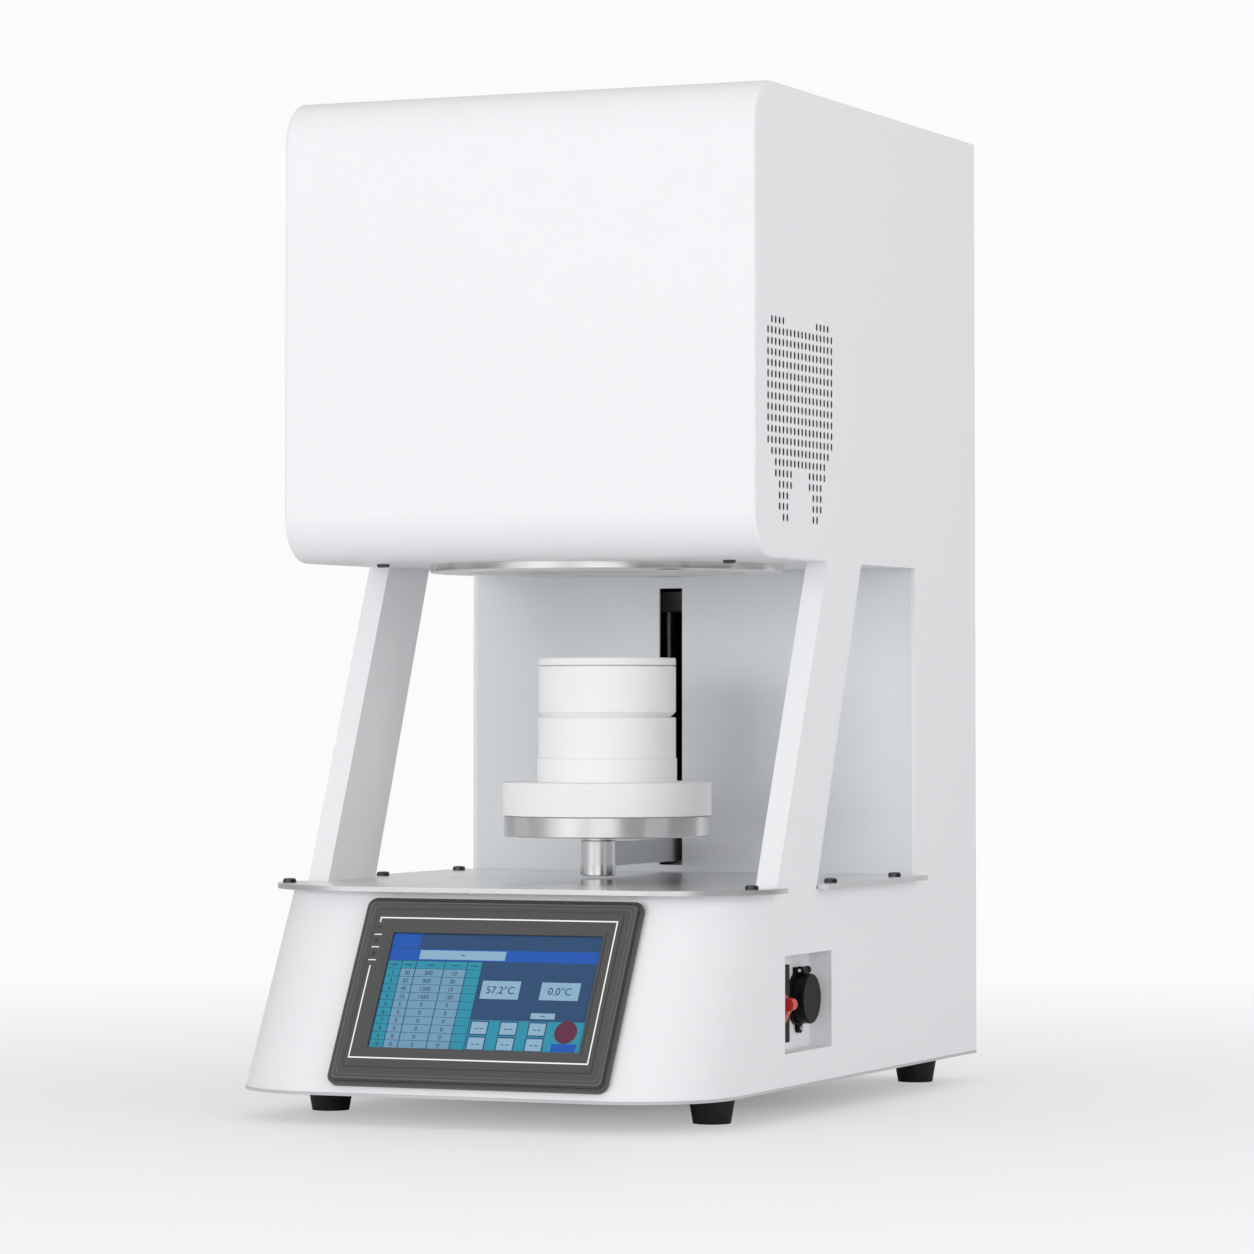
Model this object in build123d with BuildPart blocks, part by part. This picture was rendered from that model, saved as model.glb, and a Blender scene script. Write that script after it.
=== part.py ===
"""Bench-top sintering furnace for a dental lab, bottom-loading.

Frame: +Z up, the floor at Z 0, X across, the front towards -Y, and the origin
under the centre of the overall box. Millimetres.
"""

from build123d import *
import math
import os

os.makedirs("parts", exist_ok=True)

# ---------------------------------------------------------------- driving dimensions

# cabinet
body_width = 360
head_depth = 450
head_height = 329
bay_height = 226
base_height = 135.5
base_reach = 109            # how far the foot stands out ahead of the head
base_top_reach = 35.5       # the same, at the top of the slanted front
foot_height = 20
foot_radius = 13
foot_flare = 10             # degrees
foot_inset = 35
foot_front = 7
foot_rear = 410
side_skin = 3
sheet = 2
base_skin = 3
head_radius = 32
base_corner_radius = 72
edge_fillet = 2.2

# legs and side windows, measured back from the head's front
leg_front_top = 136.5
leg_front_foot = 39.5
leg_rear_top = 204
leg_rear_foot = 115
window_rear = 316
leg_thickness = 16
leg_wall = 2

# deck
deck_thickness = 3.5
deck_overhang = 9.5
deck_front_reach = 49.5
deck_corner_radius = 80
deck_screw_inset = 13.5
deck_screw_places = (3, 152, 282)
notch_clearance = 0.3
notch_overcut = 1

# fasteners
screw_shank = 2
screw_hole_gap = 0.2
deck_screw_head = 4.7
deck_screw_height = 3
cover_screw_head = 4.6
cover_screw_height = 2.4
head_rounding = 0.55        # share of the head's height
hex_radius = 0.42           # share of the head's radius
hex_depth = 0.6             # share of the head's height
wrap_screw_inset = 46
wrap_screw_back = 66
rear_screw_inset = 8
rear_screw_rise = (16, 250, 470, 680)

# chamber
chamber_back = 160          # chamber axis, back from the head's front
flange_radius = 128
flange_thickness = 5.5
flange_screw_count = 6
flange_screw_circle = 115
flange_screw_turn = 20      # degrees
flange_chamfer = 0.6
csk_radius = 4.4
csk_sink = 0.2
csk_hex = 2
csk_hex_depth = 1.6
flange_shank = 2.1
ring_radius = 99
ring_gap = 0.9
mouth_radius = 64
throat_radius = 55
mouth_depth = 14
insulation_radius = 126
floor_thickness = 28
wall_height = 165
roof_thickness = 60
chamber_radius = 85
casing_gap = 0.3
casing_skin = 1.5

# heating elements
element_count = 4
element_circle = 69
element_span = 40
element_wire = 6
terminal_wire = 12
element_drop = 135
terminal_length = 115
terminal_gap = 0.3
holder_height = 12
holder_width = 24
holder_margin = 26
strap_width = 20
strap_thickness = 3
strap_drop = 14
probe_radius = 4
probe_reach = 18
probe_head_radius = 12
probe_head_height = 16
probe_tip = 3.5

# lift and load
lift_x = -16
slot_width = 18.7
slot_rise = 5
slot_top_gap = 13
post_x = -7
post_radius = 13
post_lift = 2
neck_radius = 11.5
arm_width = 10
arm_height = 17.3
arm_rise = 8
block_width = 17.3
tray_radius = 74.5
tray_thickness = 15
tray_rise = 30.7
disc_radius = 75.5
disc_thickness = 24
step_radius = 50.5
step_height = 17.5
crucible_radius = 49.7
crucible_wall = 7
crucible_floor = 6
lower_tier_height = 29
upper_tier_height = 33
tier_chamfer = 4
lid_gap = 0.6
lid_height = 5.4
lid_spigot = 3
seal_gap = 0.5
carriage_stand = 22
carriage_depth = 50
carriage_width = 70
carriage_height = 44
carriage_drop = 12
block_back = 280
neck_height = 3
tray_chamfer = 0.8
fibre_chamfer = 0.6
lid_undercut = 2.5
spigot_clearance = 0.5

# lift drive
screw_radius = 6
nut_wall = 5
nut_flange_wall = 11
nut_flange = 6
drive_gap = 6
channel_top = 10
block_front = 22
motor_shaft_radius = 4
motor_plate_thickness = 3
motor_corner = 5
coupling_gap = 1
screw_back = 56             # screw axis, back from the inner back panel
shaft_radius = 6
shaft_spread = 26
channel_width = 80
channel_depth = 82
channel_skin = 3
block_height = 15
drive_bottom = 96
motor_size = 57
motor_height = 54
coupling_radius = 10
coupling_height = 22
running_gap = 0.05

# touch panel
bezel_width = 207
bezel_height = 140
bezel_proud = 6
bezel_step = 2
bezel_x = 13.2
screen_width = 157
screen_height = 86
screen_x = 0.7
screen_recess = 1.2
housing_side_margin = 8.5
housing_end_margin = 18
housing_depth = 28
cutout_gap = 0.5
gasket_thickness = 0.8
gasket_inset = 3
bezel_corner = 7
bezel_rim = 2.5
bezel_chamfer = 1
screen_thickness = 2
housing_chamfer = 2
clamp_width = 6
clamp_length = 10
clamp_spread = 120
clamp_height = 16

# side niche
niche_front = 54            # back from the head's front
niche_length = 89
niche_rise = 24.5
niche_height = 67.2
niche_depth = 16.5
niche_sheet = 1.5
niche_lip = 8
socket_back = 118
socket_rise = 59
socket_flange_radius = 19
socket_flange_thickness = 3
cap_radius = 17.5
cap_height = 8.4
cap_wall = 2
cap_gap = 0.3
hinge_rise = 19.8
hinge_stand = 5.2
pin_radius = 1.2
knuckle_radius = 2.8
knuckle_length = 3
knuckle_web = 2.2
breaker_back = 70
breaker_rise = 57.6
breaker_width = 27
breaker_height = 53.8
breaker_proud = 8.5
breaker_depth = 38
lever_radius = 8
lever_reach = 13.5
lever_width = 8
lever_pivot_depth = 4
lever_tab = 4.5
lever_tail = 13
lever_pin_radius = 1.5
lever_room = 0.4
tail_inner = 1.5
tail_outer = 1
breaker_rim = 2
socket_boss = 14
socket_boss_depth = 24
socket_wall = 2
lobe_drop = 20.2
lobe_radius = 4
cap_lug = 9
cap_web = 3.6
cap_web_inset = 0.4
cap_fillet = 1.2
small_head = 2
small_head_height = 1.2
small_shank = 0.8

# vents
vent_columns = 18
vent_rows = (                # runs of open slots, row by row from the top
    ((2, 5), (14, 17)),
    *(((1, 18),) for _ in range(11)),
    ((2, 17),),
    ((3, 16),),
    ((3, 7), (12, 16)),
    ((4, 7), (12, 15)),
    ((4, 6), (13, 15)),
    ((4, 6), (13, 15)),
    ((5, 6), (13, 14)),
)
vent_first = 24             # back from the head's front
vent_rise = 28.5
vent_pitch_y = 7.1
vent_pitch_z = 7.55
vent_slot_width = 3.4
vent_slot_height = 5.4
vent_margin = 9

# rear and inside
fan_size = 119
fan_depth = 25
fan_inset = 85
fan_rise = 8
gland_inset = 57
gland_rise = 38
gland_reach = 14
gland_bore = 5
gland_nut = 12
gland_nut_height = 6
gland_cap = 10
gland_chamfer = 2
gland_thread = 8
gland_inside = 12
gland_lock_height = 5
louvre_count = 9
louvre_x = 85
louvre_pitch = 16
louvre_length = 90
louvre_width = 5
grille_rings = 3
grille_radius = 22
grille_step = 13
grille_slots = 8
grille_slot_step = 4
grille_slot_length = 11
grille_slot_growth = 1.5
grille_slot_width = 5
floor_vent_x = 60
floor_vent_back = 300
floor_vent_count = 5
floor_vent_pitch = 14
floor_vent_length = 70
floor_vent_width = 5
fan_corner = 4
fan_rim = 3
fan_clearance = 2
hub_radius = 20
axle_radius = 3
strut_width = 6
strut_thickness = 3
rotor_depth = 18
blade_count = 7
blade_root = 2
blade_chord = 22
blade_thickness = 1.6
blade_pitch = 40
transformer_inset = 107
transformer_back = 225
transformer_size = (96, 84, 78)
winding_inset = 14
winding_rise = 12
sink_inset = 82
sink_back = 250
sink_size = (100, 70, 55)
sink_foot = 8
sink_fins = 9
sink_pitch = 11.8
fin_thickness = 2.4
supply_inset = 62
supply_back = 140
supply_size = (98, 100, 42)
board_x = -5
board_back = 120
board_size = (90, 120)
board_stand = 8
board_thickness = 1.6
chip_height = 6
block_inset = 57
block_back = 335
block_size = (72, 24, 26)
block_poles = 6
block_well = 2.5
block_well_depth = 6
stand_radius = 4
chip_size = 20

# ---------------------------------------------------------------- derived places

half_width = body_width / 2
inner_half = half_width - side_skin
overall_depth = base_reach + head_depth + gland_reach
front_y = base_reach - overall_depth / 2
rear_y = front_y + head_depth
base_z = foot_height
deck_under_z = base_z + base_height
deck_z = deck_under_z + deck_thickness
head_z = deck_z + bay_height
top_z = head_z + head_height
floor_top_z = base_z + sheet
panel_y = front_y + window_rear
panel_back_y = panel_y + sheet
foot_x = half_width - foot_inset
fan_x = inner_half - fan_inset
gland_x = gland_inset - inner_half
housing_width = bezel_width - 2 * housing_side_margin
housing_height = bezel_height - 2 * housing_end_margin
axis_y = front_y + chamber_back
slant = (base_reach - base_top_reach) / base_height


def slant_y(z):
    """Y of the foot's slanted front at height z."""
    return front_y - base_reach + (z - base_z) * slant


def leg_edge(top, foot, z):
    """Y of a leg edge that runs from top, at the head, to foot, at the deck."""
    return front_y + foot + (z - deck_z) * (top - foot) / bay_height


# ---------------------------------------------------------------- fasteners


def button_screws(places, plane, head_radius, head_height, shank_radius, shank_length):
    """Button-head hex screws whose heads seat on a plane, with shanks behind it."""
    with BuildPart() as screws:
        with BuildSketch(plane):
            with Locations(*places):
                Circle(head_radius)
        extrude(amount=head_height)
        outward = Axis(plane.origin, plane.z_dir)
        rims = screws.edges().filter_by(GeomType.CIRCLE).group_by(outward)[-1]
        fillet(rims, head_height * head_rounding)
        with BuildSketch(plane.offset(head_height)):
            with Locations(*places):
                RegularPolygon(head_radius * hex_radius, 6)
        extrude(amount=-head_height * hex_depth, mode=Mode.SUBTRACT)
        with BuildSketch(plane):
            with Locations(*places):
                Circle(shank_radius)
        extrude(amount=-shank_length)
    return screws.part


def save(part, name):
    """Label a finished piece and write it under its own name."""
    part.label = name
    export_step(part, f"parts/{name}.step")
    print(f"{name}: {len(part.solids())} solid(s), {part.volume / 1000:.1f} cm3")


# ---------------------------------------------------------------- side frames and vents

vent_low_y = front_y + vent_first - vent_margin
vent_high_y = front_y + vent_first + (vent_columns - 1) * vent_pitch_y + vent_margin
vent_low_z = head_z + vent_rise - vent_margin
vent_high_z = head_z + vent_rise + (len(vent_rows) - 1) * vent_pitch_z + vent_margin
niche_low_y = front_y + niche_front
niche_high_y = niche_low_y + niche_length
niche_low_z = base_z + niche_rise
niche_high_z = niche_low_z + niche_height


def side_frame(side):
    """One side sheet with its leg box; side is +1 on the right, -1 on the left."""
    skin_plane = Plane.YZ.offset(inner_half if side > 0 else -half_width)
    leg_plane = Plane.YZ.offset(half_width - leg_thickness if side > 0 else -inner_half)
    leg_depth = leg_thickness - side_skin
    low_y = slant_y(floor_top_z) + base_corner_radius
    high_y = slant_y(deck_under_z) + base_corner_radius
    with BuildPart() as frame:
        with BuildSketch(skin_plane) as outline:
            with BuildLine():
                Polyline(
                    (low_y, floor_top_z), (rear_y, floor_top_z), (rear_y, top_z),
                    (front_y, top_z), (front_y, head_z),
                    (front_y + leg_front_top, head_z), (front_y + leg_front_foot, deck_z),
                    (high_y, deck_under_z), close=True)
            make_face()
            fillet([v for v in outline.vertices() if abs(v.X - front_y) < 0.01], head_radius)
            with BuildLine():
                Polyline(
                    (leg_edge(leg_rear_top, leg_rear_foot, head_z), head_z),
                    (leg_edge(leg_rear_top, leg_rear_foot, deck_under_z), deck_under_z),
                    (panel_y, deck_under_z), (panel_y, head_z), close=True)
            make_face(mode=Mode.SUBTRACT)
            with Locations(((vent_low_y + vent_high_y) / 2, (vent_low_z + vent_high_z) / 2)):
                Rectangle(vent_high_y - vent_low_y, vent_high_z - vent_low_z, mode=Mode.SUBTRACT)
            if side > 0:
                with Locations(((niche_low_y + niche_high_y) / 2, (niche_low_z + niche_high_z) / 2)):
                    Rectangle(niche_length, niche_height, mode=Mode.SUBTRACT)
        extrude(amount=side_skin)
        outer = frame.faces().sort_by(Axis.X)[-1 if side > 0 else 0]
        rim = [e for e in outer.outer_wire().edges()
               if e.center().Z > head_z + 1 and e.center().Y < rear_y - 1]
        fillet(rim, edge_fillet)
        with BuildSketch(leg_plane):
            with BuildLine():
                Polyline(
                    (front_y + leg_front_top, head_z), (front_y + leg_front_foot, deck_z),
                    (front_y + leg_rear_foot, deck_z), (front_y + leg_rear_top, head_z), close=True)
            make_face()
        extrude(amount=leg_depth)
        with BuildSketch(leg_plane.offset(leg_wall if side > 0 else 0)):
            with BuildLine():
                Polyline(
                    (front_y + leg_front_top + leg_wall, head_z),
                    (front_y + leg_front_foot + leg_wall, deck_z),
                    (front_y + leg_rear_foot - leg_wall, deck_z),
                    (front_y + leg_rear_top - leg_wall, head_z), close=True)
            make_face()
        extrude(amount=leg_depth - leg_wall, mode=Mode.SUBTRACT)
    return frame.part


vent_places = [
    (front_y + vent_first + (column - 1) * vent_pitch_y,
     head_z + vent_rise + (len(vent_rows) - 1 - row) * vent_pitch_z)
    for row, runs in enumerate(vent_rows)
    for first, last in runs
    for column in range(first, last + 1)]

with BuildPart() as vent_panels:
    with BuildSketch(Plane.YZ.offset(inner_half)):
        with Locations(((vent_low_y + vent_high_y) / 2, (vent_low_z + vent_high_z) / 2)):
            Rectangle(vent_high_y - vent_low_y, vent_high_z - vent_low_z)
        with Locations(*vent_places):
            SlotOverall(vent_slot_height, vent_slot_width, rotation=90, mode=Mode.SUBTRACT)
    extrude(amount=side_skin)
    mirror(about=Plane.YZ)

save(side_frame(-1), "left_side_frame")
save(side_frame(1), "right_side_frame")
save(vent_panels.part, "vent_panels")

# ---------------------------------------------------------------- head wrap

wrap_screw_x = half_width - wrap_screw_inset
wrap_screw_places = [(x, front_y + wrap_screw_back) for x in (-wrap_screw_x, wrap_screw_x)]

with BuildPart() as head_wrap:
    with BuildSketch(Plane.YZ.offset(-inner_half)) as profile:
        with BuildLine():
            Polyline(
                (rear_y - sheet, top_z), (front_y, top_z), (front_y, head_z),
                (panel_back_y, head_z), (panel_back_y, head_z + sheet),
                (front_y + sheet, head_z + sheet), (front_y + sheet, top_z - sheet),
                (rear_y - sheet, top_z - sheet), close=True)
        make_face()
        fillet([v for v in profile.vertices() if abs(v.X - front_y) < 0.01], head_radius)
        fillet([v for v in profile.vertices() if abs(v.X - front_y - sheet) < 0.01],
               head_radius - sheet)
    extrude(amount=2 * inner_half)
    with BuildSketch(Plane.XY.offset(head_z)):
        with Locations((0, axis_y)):
            Circle(ring_radius + ring_gap)
        with Locations(*wrap_screw_places):
            Circle(screw_shank + screw_hole_gap)
    extrude(amount=sheet, mode=Mode.SUBTRACT)
save(head_wrap.part, "head_wrap")

# ---------------------------------------------------------------- bay back panel, rear cover

slot_low_z = deck_z + slot_rise
slot_high_z = head_z - slot_top_gap

with BuildPart() as inner_back_panel:
    with BuildSketch(Plane.XZ.offset(-panel_back_y)):
        with Locations((0, (deck_z + head_z) / 2)):
            Rectangle(2 * inner_half, bay_height)
        with Locations((lift_x, (slot_low_z + slot_high_z) / 2)):
            Rectangle(slot_width, slot_high_z - slot_low_z, mode=Mode.SUBTRACT)
    extrude(amount=sheet)
save(inner_back_panel.part, "inner_back_panel")

fan_z = floor_top_z + fan_rise + fan_size / 2
gland_z = base_z + gland_rise
louvre_z = head_z + head_height / 2
rear_screw_x = inner_half - rear_screw_inset
rear_screw_places = [(x, base_z + rise) for x in (-rear_screw_x, rear_screw_x)
                     for rise in rear_screw_rise]

with BuildPart() as rear_cover:
    with BuildSketch(Plane.XZ.offset(-rear_y)):
        with Locations((0, (floor_top_z + top_z) / 2)):
            Rectangle(2 * inner_half, top_z - floor_top_z)
        for ring in range(grille_rings):
            with Locations((fan_x, fan_z)):
                with PolarLocations(grille_radius + grille_step * ring,
                                    grille_slots + grille_slot_step * ring):
                    SlotOverall(grille_slot_length + grille_slot_growth * ring,
                                grille_slot_width, rotation=90, mode=Mode.SUBTRACT)
        with Locations((gland_x, gland_z)):
            Circle(gland_thread + screw_hole_gap, mode=Mode.SUBTRACT)
        with Locations((-louvre_x, louvre_z), (louvre_x, louvre_z)):
            with GridLocations(0, louvre_pitch, 1, louvre_count):
                SlotOverall(louvre_length, louvre_width, mode=Mode.SUBTRACT)
        with Locations(*rear_screw_places):
            Circle(screw_shank + screw_hole_gap, mode=Mode.SUBTRACT)
    extrude(amount=sheet)
save(rear_cover.part, "rear_cover")

head_under = Plane(origin=(0, 0, head_z), x_dir=(1, 0, 0), z_dir=(0, 0, -1))
rear_face = Plane(origin=(0, rear_y, 0), x_dir=(-1, 0, 0), z_dir=(0, 1, 0))

with BuildPart() as cabinet_screws:
    add(button_screws([(x, -y) for x, y in wrap_screw_places], head_under, cover_screw_head,
                      cover_screw_height, screw_shank, sheet))
    add(button_screws(rear_screw_places, rear_face, cover_screw_head,
                      cover_screw_height, screw_shank, sheet))
save(cabinet_screws.part, "cabinet_screws")

gland_plane = Plane(origin=(gland_x, rear_y, gland_z), x_dir=(1, 0, 0), z_dir=(0, 1, 0))

with BuildPart() as cable_gland:
    with BuildSketch(gland_plane):
        RegularPolygon(gland_nut, 6)
    extrude(amount=gland_nut_height)
    with BuildSketch(gland_plane.offset(gland_nut_height)):
        Circle(gland_cap)
    extrude(amount=gland_reach - gland_nut_height)
    chamfer(cable_gland.faces().sort_by(Axis.Y)[-1].edges(), gland_chamfer)
    with BuildSketch(gland_plane):
        Circle(gland_thread)
    extrude(amount=-gland_inside)
    with BuildSketch(gland_plane.offset(-sheet)):
        RegularPolygon(gland_nut, 6)
    extrude(amount=-gland_lock_height)
    with BuildSketch(gland_plane.offset(gland_reach)):
        Circle(gland_bore)
    extrude(amount=-(gland_reach + gland_inside), mode=Mode.SUBTRACT)
save(cable_gland.part, "cable_gland")

# ---------------------------------------------------------------- foot: floor, shell, feet


def plan_outline(low_y, high_y, half, radius):
    """A plan outline with rounded front corners, as a sketch on the XY plane."""
    with BuildSketch() as outline:
        with BuildLine():
            Line((-half, high_y), (-half, low_y + radius))
            RadiusArc((-half, low_y + radius), (-half + radius, low_y), -radius)
            Line((-half + radius, low_y), (half - radius, low_y))
            RadiusArc((half - radius, low_y), (half, low_y + radius), -radius)
            Polyline((half, low_y + radius), (half, high_y), (-half, high_y))
        make_face()
    return outline.sketch


floor_outline = plan_outline(slant_y(base_z), rear_y, half_width, base_corner_radius)
shell_front = slant_y(floor_top_z)
shell_end = shell_front + base_corner_radius
shell_outline = plan_outline(shell_front, rear_y, half_width, base_corner_radius)
shell_inside = plan_outline(shell_front + base_skin, rear_y, half_width - base_skin,
                            base_corner_radius - base_skin)
foot_places = [(x, front_y + y) for x in (-foot_x, foot_x) for y in (foot_front, foot_rear)]
floor_vent_y = front_y + floor_vent_back

with BuildPart() as base_floor:
    with BuildSketch(Plane.XY.offset(base_z)):
        add(floor_outline)
        with Locations(*foot_places):
            Circle(screw_shank + screw_hole_gap, mode=Mode.SUBTRACT)
        with Locations((-floor_vent_x, floor_vent_y), (floor_vent_x, floor_vent_y)):
            with GridLocations(0, floor_vent_pitch, 1, floor_vent_count):
                SlotOverall(floor_vent_length, floor_vent_width, mode=Mode.SUBTRACT)
    extrude(amount=sheet)
save(base_floor.part, "base_floor")

with BuildPart() as rubber_feet:
    with BuildSketch(Plane.XY):
        with Locations(*foot_places):
            Circle(foot_radius)
    extrude(amount=foot_height, taper=-foot_flare)
save(rubber_feet.part, "rubber_feet")

# the slanted face, seen square on: local x is X, local y runs up the slant
slope_length = math.hypot(base_height, base_reach - base_top_reach)
slope_up = Vector(0, (base_reach - base_top_reach) / slope_length, base_height / slope_length)
slope_out = Vector(0, -slope_up.Z, slope_up.Y)
panel_centre = Vector(bezel_x, slant_y(base_z), base_z) + slope_up * (slope_length / 2)
panel_plane = Plane(origin=panel_centre, x_dir=(1, 0, 0), z_dir=slope_out)

shear = Vector(0, slant, 1)

with BuildPart() as base_shell:
    with BuildSketch(Plane.XY.offset(floor_top_z)):
        add(shell_outline)
        add(shell_inside, mode=Mode.SUBTRACT)
        with Locations((0, (shell_end + rear_y) / 2)):
            Rectangle(body_width, rear_y - shell_end, mode=Mode.SUBTRACT)
    extrude(amount=(deck_under_z - floor_top_z) * shear.length, dir=shear)
    with BuildSketch(panel_plane):
        Rectangle(housing_width + 2 * cutout_gap, housing_height + 2 * cutout_gap)
    extrude(amount=2 * base_skin, both=True, mode=Mode.SUBTRACT)
save(base_shell.part, "base_shell")

# ---------------------------------------------------------------- deck

deck_low_y = front_y - deck_front_reach
deck_half = half_width + deck_overhang
notch_low_y = slant_y(deck_under_z) + base_corner_radius - notch_clearance
notch_high_y = front_y + leg_rear_foot + notch_clearance
deck_screw_x = deck_half - deck_screw_inset
deck_screw_spots = [(x, front_y + place) for x in (-deck_screw_x, deck_screw_x)
                    for place in deck_screw_places]

deck_outline = plan_outline(deck_low_y, panel_y, deck_half, deck_corner_radius)

with BuildPart() as deck_plate:
    with BuildSketch(Plane.XY.offset(deck_under_z)):
        add(deck_outline)
        with Locations((0, (panel_y + panel_back_y) / 2)):
            Rectangle(2 * inner_half, sheet)
        for side in (-1, 1):
            notch_x = side * (inner_half + deck_half + notch_overcut) / 2
            with Locations((notch_x, (notch_low_y + notch_high_y) / 2)):
                Rectangle(deck_half - inner_half + notch_overcut, notch_high_y - notch_low_y,
                          mode=Mode.SUBTRACT)
        with Locations(*deck_screw_spots):
            Circle(screw_shank + screw_hole_gap, mode=Mode.SUBTRACT)
    extrude(amount=deck_thickness)
save(deck_plate.part, "deck_plate")

save(button_screws(deck_screw_spots, Plane.XY.offset(deck_z), deck_screw_head,
                   deck_screw_height, screw_shank, deck_thickness), "deck_screws")

# ---------------------------------------------------------------- chamber

flange_low_z = head_z - flange_thickness
floor_low_z = head_z + sheet
floor_high_z = floor_low_z + floor_thickness
wall_high_z = floor_high_z + wall_height
roof_high_z = wall_high_z + roof_thickness
chamber_plane = Plane.XY.offset(flange_low_z)
csk_face_z = flange_low_z + csk_sink


def flange_spots():
    """Screw places on the flange, turned off the X axis."""
    turns = [math.radians(flange_screw_turn + 360 / flange_screw_count * i)
             for i in range(flange_screw_count)]
    return [(flange_screw_circle * math.cos(turn), axis_y + flange_screw_circle * math.sin(turn))
            for turn in turns]


with BuildPart() as chamber_flange:
    with BuildSketch(chamber_plane):
        with Locations((0, axis_y)):
            Circle(flange_radius)
            Circle(ring_radius + ring_gap, mode=Mode.SUBTRACT)
        with Locations(*flange_spots()):
            Circle(flange_shank + screw_hole_gap, mode=Mode.SUBTRACT)
    extrude(amount=flange_thickness)
    for x, y in flange_spots():
        with Locations(Location((x, y, flange_low_z), (180, 0, 0))):
            CounterSinkHole(flange_shank + screw_hole_gap, csk_radius + screw_hole_gap,
                            depth=flange_thickness)
    chamfer(chamber_flange.edges().filter_by(GeomType.CIRCLE)
            .filter_by(lambda e: abs(e.radius - flange_radius) < 0.01).sort_by(Axis.Z)[0],
            flange_chamfer)
save(chamber_flange.part, "chamber_flange")

with BuildPart() as flange_screws:
    for x, y in flange_spots():
        with BuildSketch(Plane(origin=(x, y, 0), x_dir=(1, 0, 0), z_dir=(0, -1, 0))):
            with BuildLine():
                Polyline(
                    (0, csk_face_z), (csk_radius, csk_face_z),
                    (flange_shank, csk_face_z + csk_radius - flange_shank),
                    (flange_shank, flange_low_z + flange_thickness), (0, head_z), close=True)
            make_face()
        revolve(axis=Axis((x, y, 0), (0, 0, 1)))
    with BuildSketch(Plane.XY.offset(csk_face_z)):
        with Locations(*flange_spots()):
            RegularPolygon(csk_hex, 6)
    extrude(amount=csk_hex_depth, mode=Mode.SUBTRACT)
save(flange_screws.part, "flange_screws")

with BuildPart() as insulation_floor:
    with BuildSketch(Plane(origin=(0, axis_y, 0), x_dir=(1, 0, 0), z_dir=(0, -1, 0))):
        with BuildLine():
            Polyline(
                (mouth_radius, flange_low_z), (ring_radius, flange_low_z),
                (ring_radius, floor_low_z), (insulation_radius, floor_low_z),
                (insulation_radius, floor_high_z), (throat_radius, floor_high_z),
                (throat_radius, flange_low_z + mouth_depth), close=True)
        make_face()
    revolve(axis=Axis((0, axis_y, 0), (0, 0, 1)))
save(insulation_floor.part, "insulation_floor")

with BuildPart() as insulation_wall:
    with BuildSketch(Plane.XY.offset(floor_high_z)):
        with Locations((0, axis_y)):
            Circle(insulation_radius)
            Circle(chamber_radius, mode=Mode.SUBTRACT)
    extrude(amount=wall_height)
save(insulation_wall.part, "insulation_wall")


def terminal_spots():
    """The two shank places of each heating element."""
    spots = []
    for i in range(element_count):
        turn = math.radians(45 + 360 / element_count * i)
        for along in (-element_span / 2, element_span / 2):
            spots.append((element_circle * math.cos(turn) - along * math.sin(turn),
                          axis_y + element_circle * math.sin(turn) + along * math.cos(turn)))
    return spots


with BuildPart() as insulation_roof:
    with BuildSketch(Plane.XY.offset(wall_high_z)):
        with Locations((0, axis_y)):
            Circle(insulation_radius)
            Circle(probe_radius + terminal_gap, mode=Mode.SUBTRACT)
        with Locations(*terminal_spots()):
            Circle(terminal_wire / 2 + terminal_gap, mode=Mode.SUBTRACT)
    extrude(amount=roof_thickness)
save(insulation_roof.part, "insulation_roof")

casing_inner = insulation_radius + casing_gap
casing_outer = casing_inner + casing_skin

with BuildPart() as chamber_casing:
    with BuildSketch(Plane.XY.offset(floor_low_z)):
        with Locations((0, axis_y)):
            Circle(casing_outer)
            Circle(casing_inner, mode=Mode.SUBTRACT)
    extrude(amount=roof_high_z - floor_low_z)
save(chamber_casing.part, "chamber_casing")

casing_top_z = roof_high_z + sheet

with BuildPart() as casing_top:
    with BuildSketch(Plane.XY.offset(roof_high_z)):
        with Locations((0, axis_y)):
            Circle(casing_outer)
            Circle(probe_radius + terminal_gap, mode=Mode.SUBTRACT)
        with Locations(*terminal_spots()):
            Circle(terminal_wire / 2 + terminal_gap, mode=Mode.SUBTRACT)
    extrude(amount=sheet)
save(casing_top.part, "casing_top")

terminal_top_z = wall_high_z + terminal_length

with BuildPart() as heating_elements:
    for i in range(element_count):
        turn = 45 + 360 / element_count * i
        centre = Vector(element_circle * math.cos(math.radians(turn)),
                        axis_y + element_circle * math.sin(math.radians(turn)), 0)
        plane = Plane(origin=centre, x_dir=(-math.sin(math.radians(turn)),
                                            math.cos(math.radians(turn)), 0),
                      z_dir=(math.cos(math.radians(turn)), math.sin(math.radians(turn)), 0))
        half_span = element_span / 2
        bend_z = wall_high_z - element_drop + half_span
        with BuildLine(plane):
            Line((-half_span, wall_high_z), (-half_span, bend_z))
            ThreePointArc((-half_span, bend_z), (0, bend_z - half_span), (half_span, bend_z))
            Line((half_span, bend_z), (half_span, wall_high_z))
        start = centre - plane.x_dir * half_span + Vector(0, 0, wall_high_z)
        with BuildSketch(Plane(origin=start, x_dir=plane.x_dir, z_dir=(0, 0, -1))):
            Circle(element_wire / 2)
        sweep()
    with BuildSketch(Plane.XY.offset(wall_high_z)):
        with Locations(*terminal_spots()):
            Circle(terminal_wire / 2)
    extrude(amount=terminal_length)
save(heating_elements.part, "heating_elements")

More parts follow.
